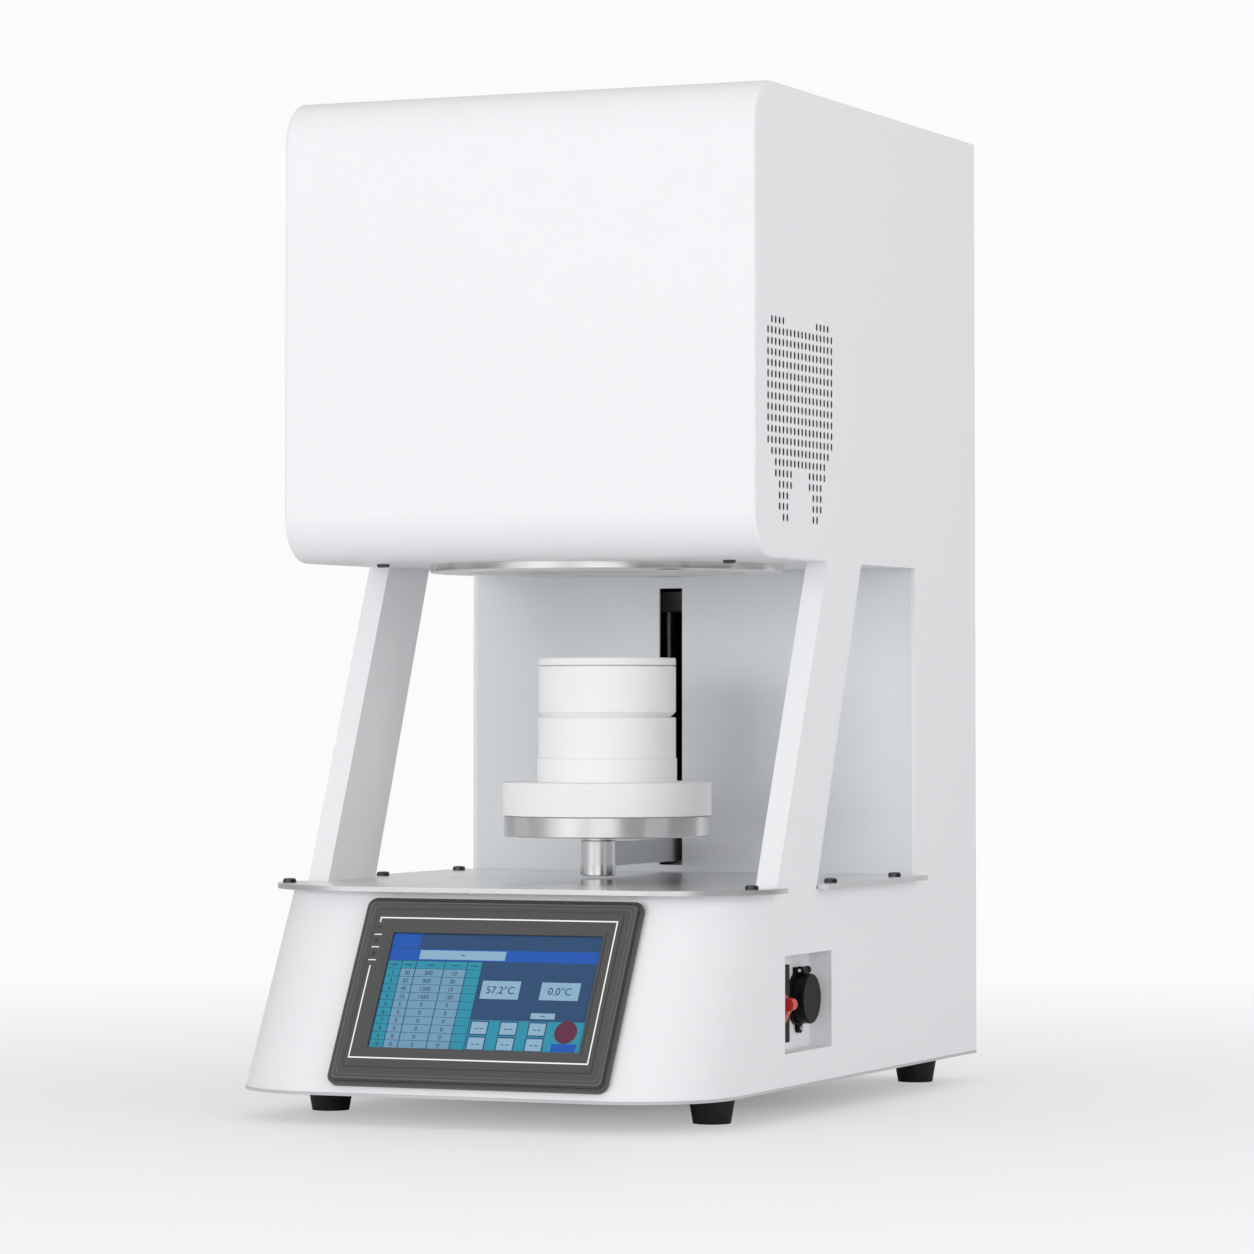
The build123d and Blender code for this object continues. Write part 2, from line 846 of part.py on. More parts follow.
with BuildPart() as element_holders:
    for i in range(element_count):
        turn = 45 + 360 / element_count * i
        x = element_circle * math.cos(math.radians(turn))
        y = axis_y + element_circle * math.sin(math.radians(turn))
        with BuildSketch(Plane.XY.offset(casing_top_z)):
            with Locations(Location((x, y, 0), turn + 90)):
                SlotOverall(element_span + holder_margin, holder_width)
        extrude(amount=holder_height)
    with BuildSketch(Plane.XY.offset(casing_top_z)):
        with Locations(*terminal_spots()):
            Circle(terminal_wire / 2)
    extrude(amount=holder_height, mode=Mode.SUBTRACT)
save(element_holders.part, "element_holders")

strap_z = terminal_top_z - strap_drop

with BuildPart() as power_straps:
    spots = terminal_spots()
    for start, end in zip(spots[1:-1:2], spots[2::2]):
        turn = math.degrees(math.atan2(end[1] - start[1], end[0] - start[0]))
        middle = ((start[0] + end[0]) / 2, (start[1] + end[1]) / 2, 0)
        with BuildSketch(Plane.XY.offset(strap_z)):
            with Locations(Location(middle, turn)):
                SlotOverall(math.dist(start, end) + strap_width, strap_width)
        extrude(amount=strap_thickness)
    with BuildSketch(Plane.XY.offset(strap_z)):
        with Locations(*spots):
            Circle(terminal_wire / 2)
    extrude(amount=strap_thickness, mode=Mode.SUBTRACT)
save(power_straps.part, "power_straps")

with BuildPart() as thermocouple:
    with BuildSketch(Plane.XY.offset(wall_high_z - probe_reach)):
        with Locations((0, axis_y)):
            Circle(probe_radius)
    extrude(amount=casing_top_z - wall_high_z + probe_reach)
    fillet(thermocouple.faces().sort_by(Axis.Z)[0].edges(), probe_tip)
    with BuildSketch(Plane.XY.offset(casing_top_z)):
        with Locations((0, axis_y)):
            Circle(probe_head_radius)
    extrude(amount=probe_head_height)
save(thermocouple.part, "thermocouple")

# ---------------------------------------------------------------- load on the hearth

tray_low_z = deck_z + tray_rise
disc_low_z = tray_low_z + tray_thickness
step_low_z = disc_low_z + disc_thickness
lower_low_z = step_low_z + step_height
upper_low_z = lower_low_z + lower_tier_height
lid_low_z = upper_low_z + tier_chamfer + upper_tier_height + lid_gap
lift_travel = flange_low_z - seal_gap - step_low_z


def hearth_plane(z):
    """A level plane on the chamber axis."""
    return Plane(origin=(0, axis_y, z), x_dir=(1, 0, 0), z_dir=(0, 0, 1))


with BuildPart() as hearth_tray:
    with BuildSketch(hearth_plane(tray_low_z)):
        Circle(tray_radius)
    extrude(amount=tray_thickness)
    chamfer(hearth_tray.edges().filter_by(GeomType.CIRCLE), tray_chamfer)
save(hearth_tray.part, "hearth_tray")

with BuildPart() as hearth_disc:
    with BuildSketch(hearth_plane(disc_low_z)):
        Circle(disc_radius)
    extrude(amount=disc_thickness)
    chamfer(hearth_disc.faces().sort_by(Axis.Z)[-1].edges(), fibre_chamfer)
save(hearth_disc.part, "hearth_disc")

with BuildPart() as crucible_step:
    with BuildSketch(hearth_plane(step_low_z)):
        Circle(step_radius)
    extrude(amount=step_height)
    chamfer(crucible_step.faces().sort_by(Axis.Z)[-1].edges(), fibre_chamfer)
save(crucible_step.part, "crucible_step")


def crucible(low_z, height, under):
    """A round cup with a straight wall, and an underside chamfered by under."""
    with BuildPart() as tier:
        with BuildSketch(hearth_plane(low_z + under)):
            Circle(crucible_radius)
        extrude(amount=height)
        if under:
            with BuildSketch(hearth_plane(low_z)):
                Circle(crucible_radius - under)
            with BuildSketch(hearth_plane(low_z + under)):
                Circle(crucible_radius)
            loft(ruled=True)
        with BuildSketch(hearth_plane(low_z + crucible_floor)):
            Circle(crucible_radius - crucible_wall)
        extrude(amount=height + under - crucible_floor, mode=Mode.SUBTRACT)
        chamfer(tier.faces().sort_by(Axis.Z)[-1].edges(), fibre_chamfer)
    return tier.part


save(crucible(lower_low_z, lower_tier_height, 0), "lower_crucible")
save(crucible(upper_low_z, upper_tier_height, tier_chamfer), "upper_crucible")

with BuildPart() as crucible_lid:
    with BuildSketch(hearth_plane(lid_low_z)):
        Circle(crucible_radius)
    extrude(amount=lid_height)
    chamfer(crucible_lid.faces().sort_by(Axis.Z)[-1].edges(), fibre_chamfer)
    with BuildSketch(hearth_plane(lid_low_z)):
        Circle(crucible_radius - lid_undercut)
    extrude(amount=-lid_gap)
    with BuildSketch(hearth_plane(lid_low_z - lid_gap)):
        Circle(crucible_radius - crucible_wall - spigot_clearance)
    extrude(amount=-lid_spigot)
save(crucible_lid.part, "crucible_lid")

# ---------------------------------------------------------------- lift

carriage_front_y = panel_back_y + carriage_stand
drive_y = panel_back_y + screw_back
arm_low_z = deck_z + arm_rise
block_front_y = front_y + block_back
carriage_low_z = arm_low_z - carriage_drop
neck_low_z = tray_low_z - neck_height
post_low_z = deck_z + post_lift


def post_plane(z):
    """A level plane on the lift post's axis."""
    return Plane(origin=(post_x, axis_y, z), x_dir=(1, 0, 0), z_dir=(0, 0, 1))


with BuildPart() as lift_post:
    with BuildSketch(post_plane(post_low_z)):
        Circle(post_radius)
    extrude(amount=neck_low_z - post_low_z)
    chamfer(lift_post.edges().filter_by(GeomType.CIRCLE), tray_chamfer)
    with BuildSketch(post_plane(neck_low_z)):
        Circle(neck_radius)
    extrude(amount=neck_height)
save(lift_post.part, "lift_post")

with BuildPart() as lift_arm:
    with BuildSketch(Plane.XY.offset(arm_low_z)):
        with Locations((lift_x, (axis_y + block_front_y) / 2)):
            Rectangle(arm_width, block_front_y - axis_y)
        with Locations((lift_x, (block_front_y + carriage_front_y) / 2)):
            Rectangle(block_width, carriage_front_y - block_front_y)
        with Locations((post_x, axis_y)):
            Circle(post_radius, mode=Mode.SUBTRACT)
    extrude(amount=arm_height)
save(lift_arm.part.solids().sort_by(Axis.Y)[-1], "lift_arm")

shaft_places = [(lift_x - shaft_spread, drive_y), (lift_x + shaft_spread, drive_y)]
screw_place = (lift_x, drive_y)

with BuildPart() as lift_carriage:
    with BuildSketch(Plane.XY.offset(carriage_low_z)):
        with Locations((lift_x, carriage_front_y + carriage_depth / 2)):
            Rectangle(carriage_width, carriage_depth)
        with Locations(*shaft_places):
            Circle(shaft_radius + running_gap, mode=Mode.SUBTRACT)
        with Locations(screw_place):
            Circle(screw_radius + nut_wall, mode=Mode.SUBTRACT)
    extrude(amount=carriage_height)
save(lift_carriage.part, "lift_carriage")

with BuildPart() as lift_nut:
    with BuildSketch(Plane.XY.offset(carriage_low_z)):
        with Locations(screw_place):
            Circle(screw_radius + nut_wall)
    extrude(amount=carriage_height)
    with BuildSketch(Plane.XY.offset(carriage_low_z)):
        with Locations(screw_place):
            Circle(screw_radius + nut_flange_wall)
    extrude(amount=-nut_flange)
    with BuildSketch(Plane.XY.offset(carriage_low_z - nut_flange)):
        with Locations(screw_place):
            Circle(screw_radius + running_gap)
    extrude(amount=carriage_height + nut_flange, mode=Mode.SUBTRACT)
save(lift_nut.part, "lift_nut")

low_block_z = drive_bottom + coupling_height + drive_gap
high_block_z = carriage_low_z + carriage_height + lift_travel + drive_gap
high_block_top_z = high_block_z + block_height
channel_back_y = panel_back_y + channel_depth
web_y = channel_back_y - channel_skin
channel_inside = channel_width - 2 * channel_skin
motor_top_z = drive_bottom - motor_plate_thickness
motor_low_z = motor_top_z - motor_height
block_depth = web_y - drive_y + block_front

with BuildPart() as lift_frame:
    with BuildSketch(Plane.XY.offset(motor_low_z)):
        with Locations((lift_x, panel_back_y + channel_depth / 2)):
            Rectangle(channel_width, channel_depth)
        with Locations((lift_x, (panel_back_y + web_y) / 2)):
            Rectangle(channel_inside, web_y - panel_back_y, mode=Mode.SUBTRACT)
    extrude(amount=high_block_top_z + channel_top - motor_low_z)
save(lift_frame.part, "lift_frame")

with BuildPart() as bearing_blocks:
    for block_z in (low_block_z, high_block_z):
        with BuildSketch(Plane.XY.offset(block_z)):
            with Locations((lift_x, web_y - block_depth / 2)):
                Rectangle(channel_inside, block_depth)
            with Locations(*shaft_places):
                Circle(shaft_radius, mode=Mode.SUBTRACT)
            with Locations(screw_place):
                Circle(screw_radius + running_gap, mode=Mode.SUBTRACT)
    extrude(amount=block_height)
save(bearing_blocks.part, "bearing_blocks")

with BuildPart() as guide_shafts:
    with BuildSketch(Plane.XY.offset(low_block_z)):
        with Locations(*shaft_places):
            Circle(shaft_radius)
    extrude(amount=high_block_top_z - low_block_z)
save(guide_shafts.part, "guide_shafts")

screw_low_z = drive_bottom + coupling_height / 2

with BuildPart() as lead_screw:
    with BuildSketch(Plane.XY.offset(screw_low_z)):
        with Locations(screw_place):
            Circle(screw_radius)
    extrude(amount=high_block_top_z - screw_low_z)
    chamfer(lead_screw.faces().sort_by(Axis.Z)[-1].edges(), tray_chamfer)
save(lead_screw.part, "lead_screw")

with BuildPart() as shaft_coupling:
    with BuildSketch(Plane.XY.offset(drive_bottom + coupling_gap)):
        with Locations(screw_place):
            Circle(coupling_radius)
    extrude(amount=coupling_height)
    with BuildSketch(Plane.XY.offset(screw_low_z)):
        with Locations(screw_place):
            Circle(screw_radius)
    extrude(amount=coupling_height, mode=Mode.SUBTRACT)
    with BuildSketch(Plane.XY.offset(drive_bottom)):
        with Locations(screw_place):
            Circle(motor_shaft_radius + running_gap)
    extrude(amount=coupling_height, mode=Mode.SUBTRACT)
save(shaft_coupling.part, "shaft_coupling")

with BuildPart() as motor_plate:
    with BuildSketch(Plane.XY.offset(motor_top_z)):
        with Locations((lift_x, web_y - block_depth / 2)):
            Rectangle(channel_inside, block_depth)
        with Locations(screw_place):
            Circle(motor_shaft_radius + drive_gap, mode=Mode.SUBTRACT)
    extrude(amount=motor_plate_thickness)
save(motor_plate.part, "motor_plate")

with BuildPart() as lift_motor:
    with BuildSketch(Plane.XY.offset(motor_low_z)):
        with Locations((lift_x, web_y - motor_size / 2)):
            RectangleRounded(motor_size, motor_size, motor_corner)
    extrude(amount=motor_height)
    with BuildSketch(Plane.XY.offset(motor_top_z)):
        with Locations(screw_place):
            Circle(motor_shaft_radius)
    extrude(amount=screw_low_z - coupling_gap - motor_top_z)
save(lift_motor.part, "lift_motor")

# ---------------------------------------------------------------- touch panel

screen_plane = Plane(origin=panel_centre + Vector(screen_x, 0, 0), x_dir=(1, 0, 0),
                     z_dir=slope_out)
out_axis = Axis(panel_centre, slope_out)
screen_face = bezel_proud - screen_recess

with BuildPart() as panel_bezel:
    with BuildSketch(panel_plane.offset(gasket_thickness)):
        RectangleRounded(bezel_width, bezel_height, bezel_corner)
    extrude(amount=bezel_proud - bezel_step - gasket_thickness)
    with BuildSketch(panel_plane.offset(bezel_proud - bezel_step)):
        RectangleRounded(bezel_width - 2 * bezel_rim, bezel_height - 2 * bezel_rim,
                         bezel_corner - bezel_rim)
    extrude(amount=bezel_step)
    chamfer(panel_bezel.faces().sort_by(out_axis)[-1].edges(), bezel_chamfer)
    with BuildSketch(screen_plane.offset(bezel_proud)):
        Rectangle(screen_width, screen_height)
    extrude(amount=-bezel_proud, mode=Mode.SUBTRACT)
save(panel_bezel.part, "panel_bezel")

with BuildPart() as touch_screen:
    with BuildSketch(screen_plane.offset(screen_face - screen_thickness)):
        Rectangle(screen_width, screen_height)
    extrude(amount=screen_thickness)
save(touch_screen.part, "touch_screen")

with BuildPart() as panel_gasket:
    with BuildSketch(panel_plane):
        Rectangle(bezel_width - 2 * gasket_inset, bezel_height - 2 * gasket_inset)
        Rectangle(housing_width, housing_height, mode=Mode.SUBTRACT)
    extrude(amount=gasket_thickness)
save(panel_gasket.part, "panel_gasket")

with BuildPart() as panel_housing:
    with BuildSketch(panel_plane.offset(gasket_thickness)):
        Rectangle(housing_width, housing_height)
    extrude(amount=-(housing_depth + gasket_thickness))
    with BuildSketch(screen_plane.offset(gasket_thickness)):
        Rectangle(screen_width, screen_height)
    extrude(amount=screen_face - screen_thickness - gasket_thickness)
    chamfer(panel_housing.faces().sort_by(out_axis)[0].edges(), housing_chamfer)
save(panel_housing.part, "panel_housing")

clamp_stand = base_skin * -slope_out.Y

with BuildPart() as panel_clamps:
    with BuildSketch(panel_plane.offset(-clamp_stand)):
        with GridLocations(clamp_spread, housing_height + clamp_width, 2, 2):
            Rectangle(clamp_length, clamp_width)
    extrude(amount=-clamp_height)
save(panel_clamps.part, "panel_clamps")

# ---------------------------------------------------------------- side niche

niche_x = half_width - niche_depth
niche_back_x = niche_x - niche_sheet
niche_mid_y = (niche_low_y + niche_high_y) / 2
niche_mid_z = (niche_low_z + niche_high_z) / 2
socket_y = front_y + socket_back
socket_z = base_z + socket_rise
breaker_y = front_y + breaker_back
breaker_z = base_z + breaker_rise
tail_width = breaker_width - 2 * breaker_rim
tail_height = breaker_height - 2 * breaker_rim

with BuildPart() as niche_box:
    with BuildSketch(Plane.YZ.offset(niche_back_x)):
        with Locations((niche_mid_y, niche_mid_z)):
            Rectangle(niche_length + 2 * niche_sheet, niche_height + 2 * niche_sheet)
    extrude(amount=inner_half - niche_back_x)
    with BuildSketch(Plane.YZ.offset(inner_half - niche_sheet)):
        with Locations((niche_mid_y, niche_mid_z)):
            Rectangle(niche_length + 2 * niche_lip, niche_height + 2 * niche_lip)
    extrude(amount=niche_sheet)
    with BuildSketch(Plane.YZ.offset(niche_x)):
        with Locations((niche_mid_y, niche_mid_z)):
            Rectangle(niche_length, niche_height)
    extrude(amount=niche_depth, mode=Mode.SUBTRACT)
    with BuildSketch(Plane.YZ.offset(niche_back_x)):
        with Locations((socket_y, socket_z)):
            Circle(socket_boss + cap_gap)
        with Locations((breaker_y, breaker_z)):
            Rectangle(tail_width + 2 * cap_gap, tail_height + 2 * cap_gap)
    extrude(amount=niche_sheet, mode=Mode.SUBTRACT)
save(niche_box.part, "niche_box")

hinge_x = niche_x + hinge_stand
hinge_z = socket_z + hinge_rise
hinge_half = cap_lug / 2 + cap_gap + knuckle_length
hinge_plane = Plane(origin=(hinge_x, socket_y, hinge_z), x_dir=(-1, 0, 0), z_dir=(0, 1, 0))
socket_plane = Plane(origin=(niche_x, socket_y, socket_z), x_dir=(0, 1, 0), z_dir=(1, 0, 0))

with BuildPart() as socket_flange:
    with BuildSketch(socket_plane):
        Circle(socket_flange_radius)
        with Locations((0, -lobe_drop)):
            Circle(lobe_radius)
        with Locations((0, hinge_rise - lobe_radius)):
            Rectangle(2 * hinge_half, 2 * lobe_radius)
    extrude(amount=socket_flange_thickness)
    with BuildSketch(hinge_plane.offset(-hinge_half)):
        Circle(knuckle_radius)
        with Locations((hinge_stand / 2, 0)):
            Rectangle(hinge_stand, 2 * knuckle_web)
    extrude(amount=2 * hinge_half)
    with BuildSketch(hinge_plane.offset(-cap_lug / 2 - cap_gap)):
        Rectangle(2 * knuckle_radius, 2 * (knuckle_radius + cap_gap))
    extrude(amount=cap_lug + 2 * cap_gap, mode=Mode.SUBTRACT)
    with BuildSketch(hinge_plane.offset(-hinge_half)):
        Circle(pin_radius)
    extrude(amount=2 * hinge_half, mode=Mode.SUBTRACT)
    with BuildSketch(socket_plane):
        Circle(socket_boss)
    extrude(amount=-socket_boss_depth)
    with BuildSketch(socket_plane.offset(socket_flange_thickness)):
        Circle(socket_boss - socket_wall)
    extrude(amount=-socket_boss_depth, mode=Mode.SUBTRACT)
    with BuildSketch(socket_plane):
        with Locations((0, -lobe_drop)):
            Circle(small_shank + screw_hole_gap)
    extrude(amount=socket_flange_thickness, mode=Mode.SUBTRACT)
save(socket_flange.part, "socket_flange")

with BuildPart() as hinge_pin:
    with BuildSketch(hinge_plane.offset(-hinge_half)):
        Circle(pin_radius)
    extrude(amount=2 * hinge_half)
save(hinge_pin.part, "hinge_pin")

cap_plane = socket_plane.offset(socket_flange_thickness + cap_gap)

with BuildPart() as socket_cap:
    with BuildSketch(cap_plane):
        Circle(cap_radius)
    extrude(amount=cap_height)
    fillet(socket_cap.faces().sort_by(Axis.X)[-1].edges(), cap_fillet)
    with BuildSketch(hinge_plane.offset(-cap_lug / 2)):
        Circle(knuckle_radius - cap_gap)
        with Locations((-cap_web_inset, -(hinge_rise - cap_radius + cap_wall) / 2)):
            Rectangle(cap_web, hinge_rise - cap_radius + cap_wall)
    extrude(amount=cap_lug)
    with BuildSketch(cap_plane):
        Circle(cap_radius - cap_wall)
    extrude(amount=cap_height - cap_wall, mode=Mode.SUBTRACT)
    with BuildSketch(hinge_plane.offset(-cap_lug / 2)):
        Circle(pin_radius + running_gap)
    extrude(amount=cap_lug, mode=Mode.SUBTRACT)
save(socket_cap.part, "socket_cap")

save(button_screws([(0, -lobe_drop)], socket_plane.offset(socket_flange_thickness),
                   small_head, small_head_height, small_shank,
                   socket_flange_thickness), "socket_screw")

# the lever's own plane: local x points out of the niche, local y up
lever_pivot_x = niche_x + breaker_proud - lever_pivot_depth
lever_plane = Plane(origin=(lever_pivot_x, breaker_y, breaker_z), x_dir=(1, 0, 0),
                    z_dir=(0, -1, 0))
lever_room_low = -lever_tail - lever_room
lever_room_high = lever_radius + 3 * lever_room

with BuildPart() as breaker_body:
    with BuildSketch(Plane.YZ.offset(niche_x)):
        with Locations((breaker_y, breaker_z)):
            Rectangle(breaker_width, breaker_height)
    extrude(amount=breaker_proud)
    chamfer(breaker_body.faces().sort_by(Axis.X)[-1].edges(), fibre_chamfer)
    with BuildSketch(Plane.YZ.offset(niche_x)):
        with Locations((breaker_y, breaker_z)):
            Rectangle(tail_width, tail_height)
    extrude(amount=-breaker_depth)
    with BuildSketch(lever_plane.offset(-lever_width / 2 - lever_room)):
        with Locations((0, (lever_room_low + lever_room_high) / 2)):
            Rectangle(2 * (lever_radius + lever_room), lever_room_high - lever_room_low)
    extrude(amount=lever_width + 2 * lever_room, mode=Mode.SUBTRACT)
    with BuildSketch(lever_plane.offset(-lever_width / 2 - lever_room)):
        Circle(lever_pin_radius)
    extrude(amount=lever_width + 2 * lever_room)
save(breaker_body.part, "breaker_body")

with BuildPart() as breaker_lever:
    with BuildSketch(lever_plane.offset(-lever_width / 2)):
        Circle(lever_radius)
        with BuildLine():
            Polyline(
                (0, lever_tab), (lever_reach - lever_tab, lever_tab),
                (lever_reach - lever_tab, -lever_tab),
                (lever_pivot_depth + tail_outer, -lever_tail),
                (lever_pivot_depth - tail_inner, -lever_tail), (0, -lever_radius), close=True)
        make_face()
        with Locations((lever_reach - lever_tab, 0)):
            Circle(lever_tab)
        Circle(lever_pin_radius + running_gap, mode=Mode.SUBTRACT)
    extrude(amount=lever_width)
save(breaker_lever.part, "breaker_lever")

# ---------------------------------------------------------------- fan and power parts

fan_plane = Plane(origin=(fan_x, rear_y - sheet, fan_z), x_dir=(-1, 0, 0), z_dir=(0, 1, 0))

with BuildPart() as fan_frame:
    with BuildSketch(fan_plane):
        RectangleRounded(fan_size, fan_size, fan_corner)
        Circle(fan_size / 2 - fan_rim, mode=Mode.SUBTRACT)
    extrude(amount=-fan_depth)
    with BuildSketch(fan_plane.offset(-fan_depth)):
        Circle(hub_radius)
        for turn in (45, 135):
            Rectangle(fan_size - fan_rim, strut_width, rotation=turn)
    extrude(amount=strut_thickness)
    with BuildSketch(fan_plane.offset(strut_thickness - fan_depth)):
        Circle(axle_radius)
    extrude(amount=fan_depth - strut_thickness - fan_clearance)
save(fan_frame.part, "fan_frame")

rotor_mid_y = rear_y - sheet - fan_clearance - rotor_depth / 2
blade_length = fan_size / 2 - fan_rim - fan_clearance - hub_radius + blade_root

with BuildPart() as fan_rotor:
    with BuildSketch(fan_plane.offset(-fan_clearance)):
        Circle(hub_radius)
    extrude(amount=-rotor_depth)
    for i in range(blade_count):
        turn = math.radians(360 / blade_count * i)
        outward = Vector(math.cos(turn), 0, math.sin(turn))
        root = Vector(fan_x, rotor_mid_y, fan_z) + outward * (hub_radius - blade_root)
        with BuildSketch(Plane(origin=root, x_dir=(0, 1, 0), z_dir=outward)):
            Rectangle(blade_chord, blade_thickness, rotation=blade_pitch)
        extrude(amount=blade_length)
    with BuildSketch(fan_plane):
        Circle(axle_radius + running_gap)
    extrude(amount=-fan_depth, mode=Mode.SUBTRACT)
save(fan_rotor.part, "fan_rotor")

floor_plane = Plane.XY.offset(floor_top_z)
transformer_place = (inner_half - transformer_inset, front_y + transformer_back)
sink_place = (sink_inset - inner_half, front_y + sink_back)
supply_place = (supply_inset - inner_half, front_y + supply_back)
board_place = (board_x, front_y + board_back)
block_place = (block_inset - inner_half, front_y + block_back)

with BuildPart() as transformer:
    with BuildSketch(floor_plane):
        with Locations(transformer_place):
            Rectangle(transformer_size[0], transformer_size[1])
    extrude(amount=transformer_size[2])
    with BuildSketch(floor_plane.offset(transformer_size[2])):
        with Locations(transformer_place):
            Rectangle(transformer_size[0] - 2 * winding_inset, transformer_size[1] - winding_inset)
    extrude(amount=winding_rise)
save(transformer.part, "transformer")

with BuildPart() as heat_sink:
    with BuildSketch(floor_plane):
        with Locations(sink_place):
            Rectangle(sink_size[0], sink_size[1])
    extrude(amount=sink_foot)
    with BuildSketch(floor_plane.offset(sink_foot)):
        with Locations(sink_place):
            with GridLocations(sink_pitch, 0, sink_fins, 1):
                Rectangle(fin_thickness, sink_size[1])
    extrude(amount=sink_size[2] - sink_foot)
save(heat_sink.part, "heat_sink")

with BuildPart() as power_supply:
    with BuildSketch(floor_plane):
        with Locations(supply_place):
            Rectangle(supply_size[0], supply_size[1])
    extrude(amount=supply_size[2])
    chamfer(power_supply.edges().filter_by(Axis.Z), housing_chamfer)
save(power_supply.part, "power_supply")

with BuildPart() as controller_board:
    with BuildSketch(floor_plane):
        with Locations(board_place):
            with GridLocations(board_size[0] - 2 * stand_radius, board_size[1] - 2 * stand_radius,
                               2, 2):
                Circle(stand_radius)
    extrude(amount=board_stand)
    with BuildSketch(floor_plane.offset(board_stand)):
        with Locations(board_place):
            Rectangle(board_size[0], board_size[1])
    extrude(amount=board_thickness)
    with BuildSketch(floor_plane.offset(board_stand + board_thickness)):
        with Locations(board_place):
            with GridLocations(board_size[0] / 2, board_size[1] / 3, 2, 2):
                Rectangle(chip_size, chip_size)
    extrude(amount=chip_height)
save(controller_board.part, "controller_board")

with BuildPart() as terminal_block:
    with BuildSketch(floor_plane):
        with Locations(block_place):
            Rectangle(block_size[0], block_size[1])
    extrude(amount=block_size[2])
    with BuildSketch(floor_plane.offset(block_size[2])):
        with Locations(block_place):
            with GridLocations(block_size[0] / block_poles, 0, block_poles, 1):
                Circle(block_well)
    extrude(amount=-block_well_depth, mode=Mode.SUBTRACT)
save(terminal_block.part, "terminal_block")
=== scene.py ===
# %% [markdown]
# # A bottom-loading sintering furnace, dressed for its portrait
#
# The CAD model already holds every solid of this furnace in its true place.
# What is missing is what the eye reads first: powder coat, brushed steel,
# pressed fibre, a lit screen, and the light of a plain studio.
# Each step below says what the real piece or finish is, how it could be made
# in Blender, and why it is made the way it is.

import math

import bmesh
import bpy
from mathutils import Matrix, Vector


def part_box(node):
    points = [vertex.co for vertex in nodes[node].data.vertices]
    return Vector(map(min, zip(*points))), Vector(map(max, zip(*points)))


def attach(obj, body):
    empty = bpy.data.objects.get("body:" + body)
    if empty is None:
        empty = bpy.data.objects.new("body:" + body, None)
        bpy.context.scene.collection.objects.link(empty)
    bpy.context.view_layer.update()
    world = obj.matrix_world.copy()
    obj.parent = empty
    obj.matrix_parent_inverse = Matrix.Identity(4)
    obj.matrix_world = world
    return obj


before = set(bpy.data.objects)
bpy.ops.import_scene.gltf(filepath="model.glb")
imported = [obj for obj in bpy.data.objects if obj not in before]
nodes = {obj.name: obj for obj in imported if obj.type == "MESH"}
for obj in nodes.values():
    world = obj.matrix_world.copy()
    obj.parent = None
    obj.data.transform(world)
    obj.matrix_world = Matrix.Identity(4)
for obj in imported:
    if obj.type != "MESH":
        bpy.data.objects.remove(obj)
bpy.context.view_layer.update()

# %% [markdown]
# ## The camera
#
# The picture was taken from low down and far to the right, with a long lens,
# so the furnace's upright edges stay almost parallel. Such a camera could be
# placed by eye, but the cabinet has enough straight edges to work it out: the
# lens, the spot and the turn below come from lining those edges up. The small
# shift stands for the crop of the original frame.

# %% Place the camera
CAMERA_SPOT = Vector((1.4240, -3.2694, 0.2850))
CAMERA_YAW = math.radians(22.933)
CAMERA_PITCH = math.radians(2.559)
CAMERA_ROLL = math.radians(-0.005)
CAMERA_LENS = 140.77
CAMERA_SHIFT = (-0.0330, -0.1135)

camera_data = bpy.data.cameras.new("studio_camera")
camera_data.lens = CAMERA_LENS
camera_data.sensor_width = 36
camera_data.shift_x, camera_data.shift_y = CAMERA_SHIFT
camera_data.clip_end = 60
camera = bpy.data.objects.new("studio_camera", camera_data)
bpy.context.scene.collection.objects.link(camera)
camera.matrix_world = (
    Matrix.Translation(CAMERA_SPOT)
    @ Matrix.Rotation(CAMERA_YAW, 4, "Z")
    @ Matrix.Rotation(math.pi / 2 + CAMERA_PITCH, 4, "X")
    @ Matrix.Rotation(CAMERA_ROLL, 4, "Z")
)
bpy.context.scene.camera = camera
bpy.context.scene.view_settings.view_transform = "Standard"
print(f"camera {CAMERA_SPOT.length:.2f} m from the furnace, lens {CAMERA_LENS:.0f} mm")

# %% [markdown]
# ## The studio: a white room that only the camera sees as white
#
# A product picture is shot in a light tent. Its walls could be modelled, but a
# world colour does the same with less. Light Path keeps two jobs apart: camera
# rays see plain white, while the light that reaches the furnace comes from a
# softer, greyer sky. Shiny steel needs something to mirror, so glossy rays see
# bright side walls with darker bands between them, as tent walls and gaps are.
# The lamps stay out of the mirror: their job is only to light. Overhead the
# tent is grey cloth, which lets the rounded top edge turn away from the light,
# and behind the furnace it is dimmer, so black plastic stays black.

# %% Build the world
BACKDROP_WHITE = 0.965
SKY_LIGHT = 0.98
ZENITH_SHARE = 0.34
BEHIND_SHARE = 0.60
# place from the left wall (0) to the right wall (1), and how bright it is there
WALL_STOPS = ((0.0, 0.26), (0.08, 0.30), (0.19, 0.95), (0.34, 1.25), (0.50, 0.80),
              (0.60, 1.25), (0.74, 1.25), (0.85, 0.06), (1.0, 0.04))


def remap(tree, source, low, high, at_low=0.0, at_high=1.0):
    """Turns a value's span low..high into at_low..at_high, held level outside."""
    span = tree.nodes.new("ShaderNodeMapRange")
    for socket, value in (("From Min", low), ("From Max", high),
                          ("To Min", at_low), ("To Max", at_high)):
        span.inputs[socket].default_value = value
    tree.links.new(source, span.inputs["Value"])
    return span.outputs["Result"]


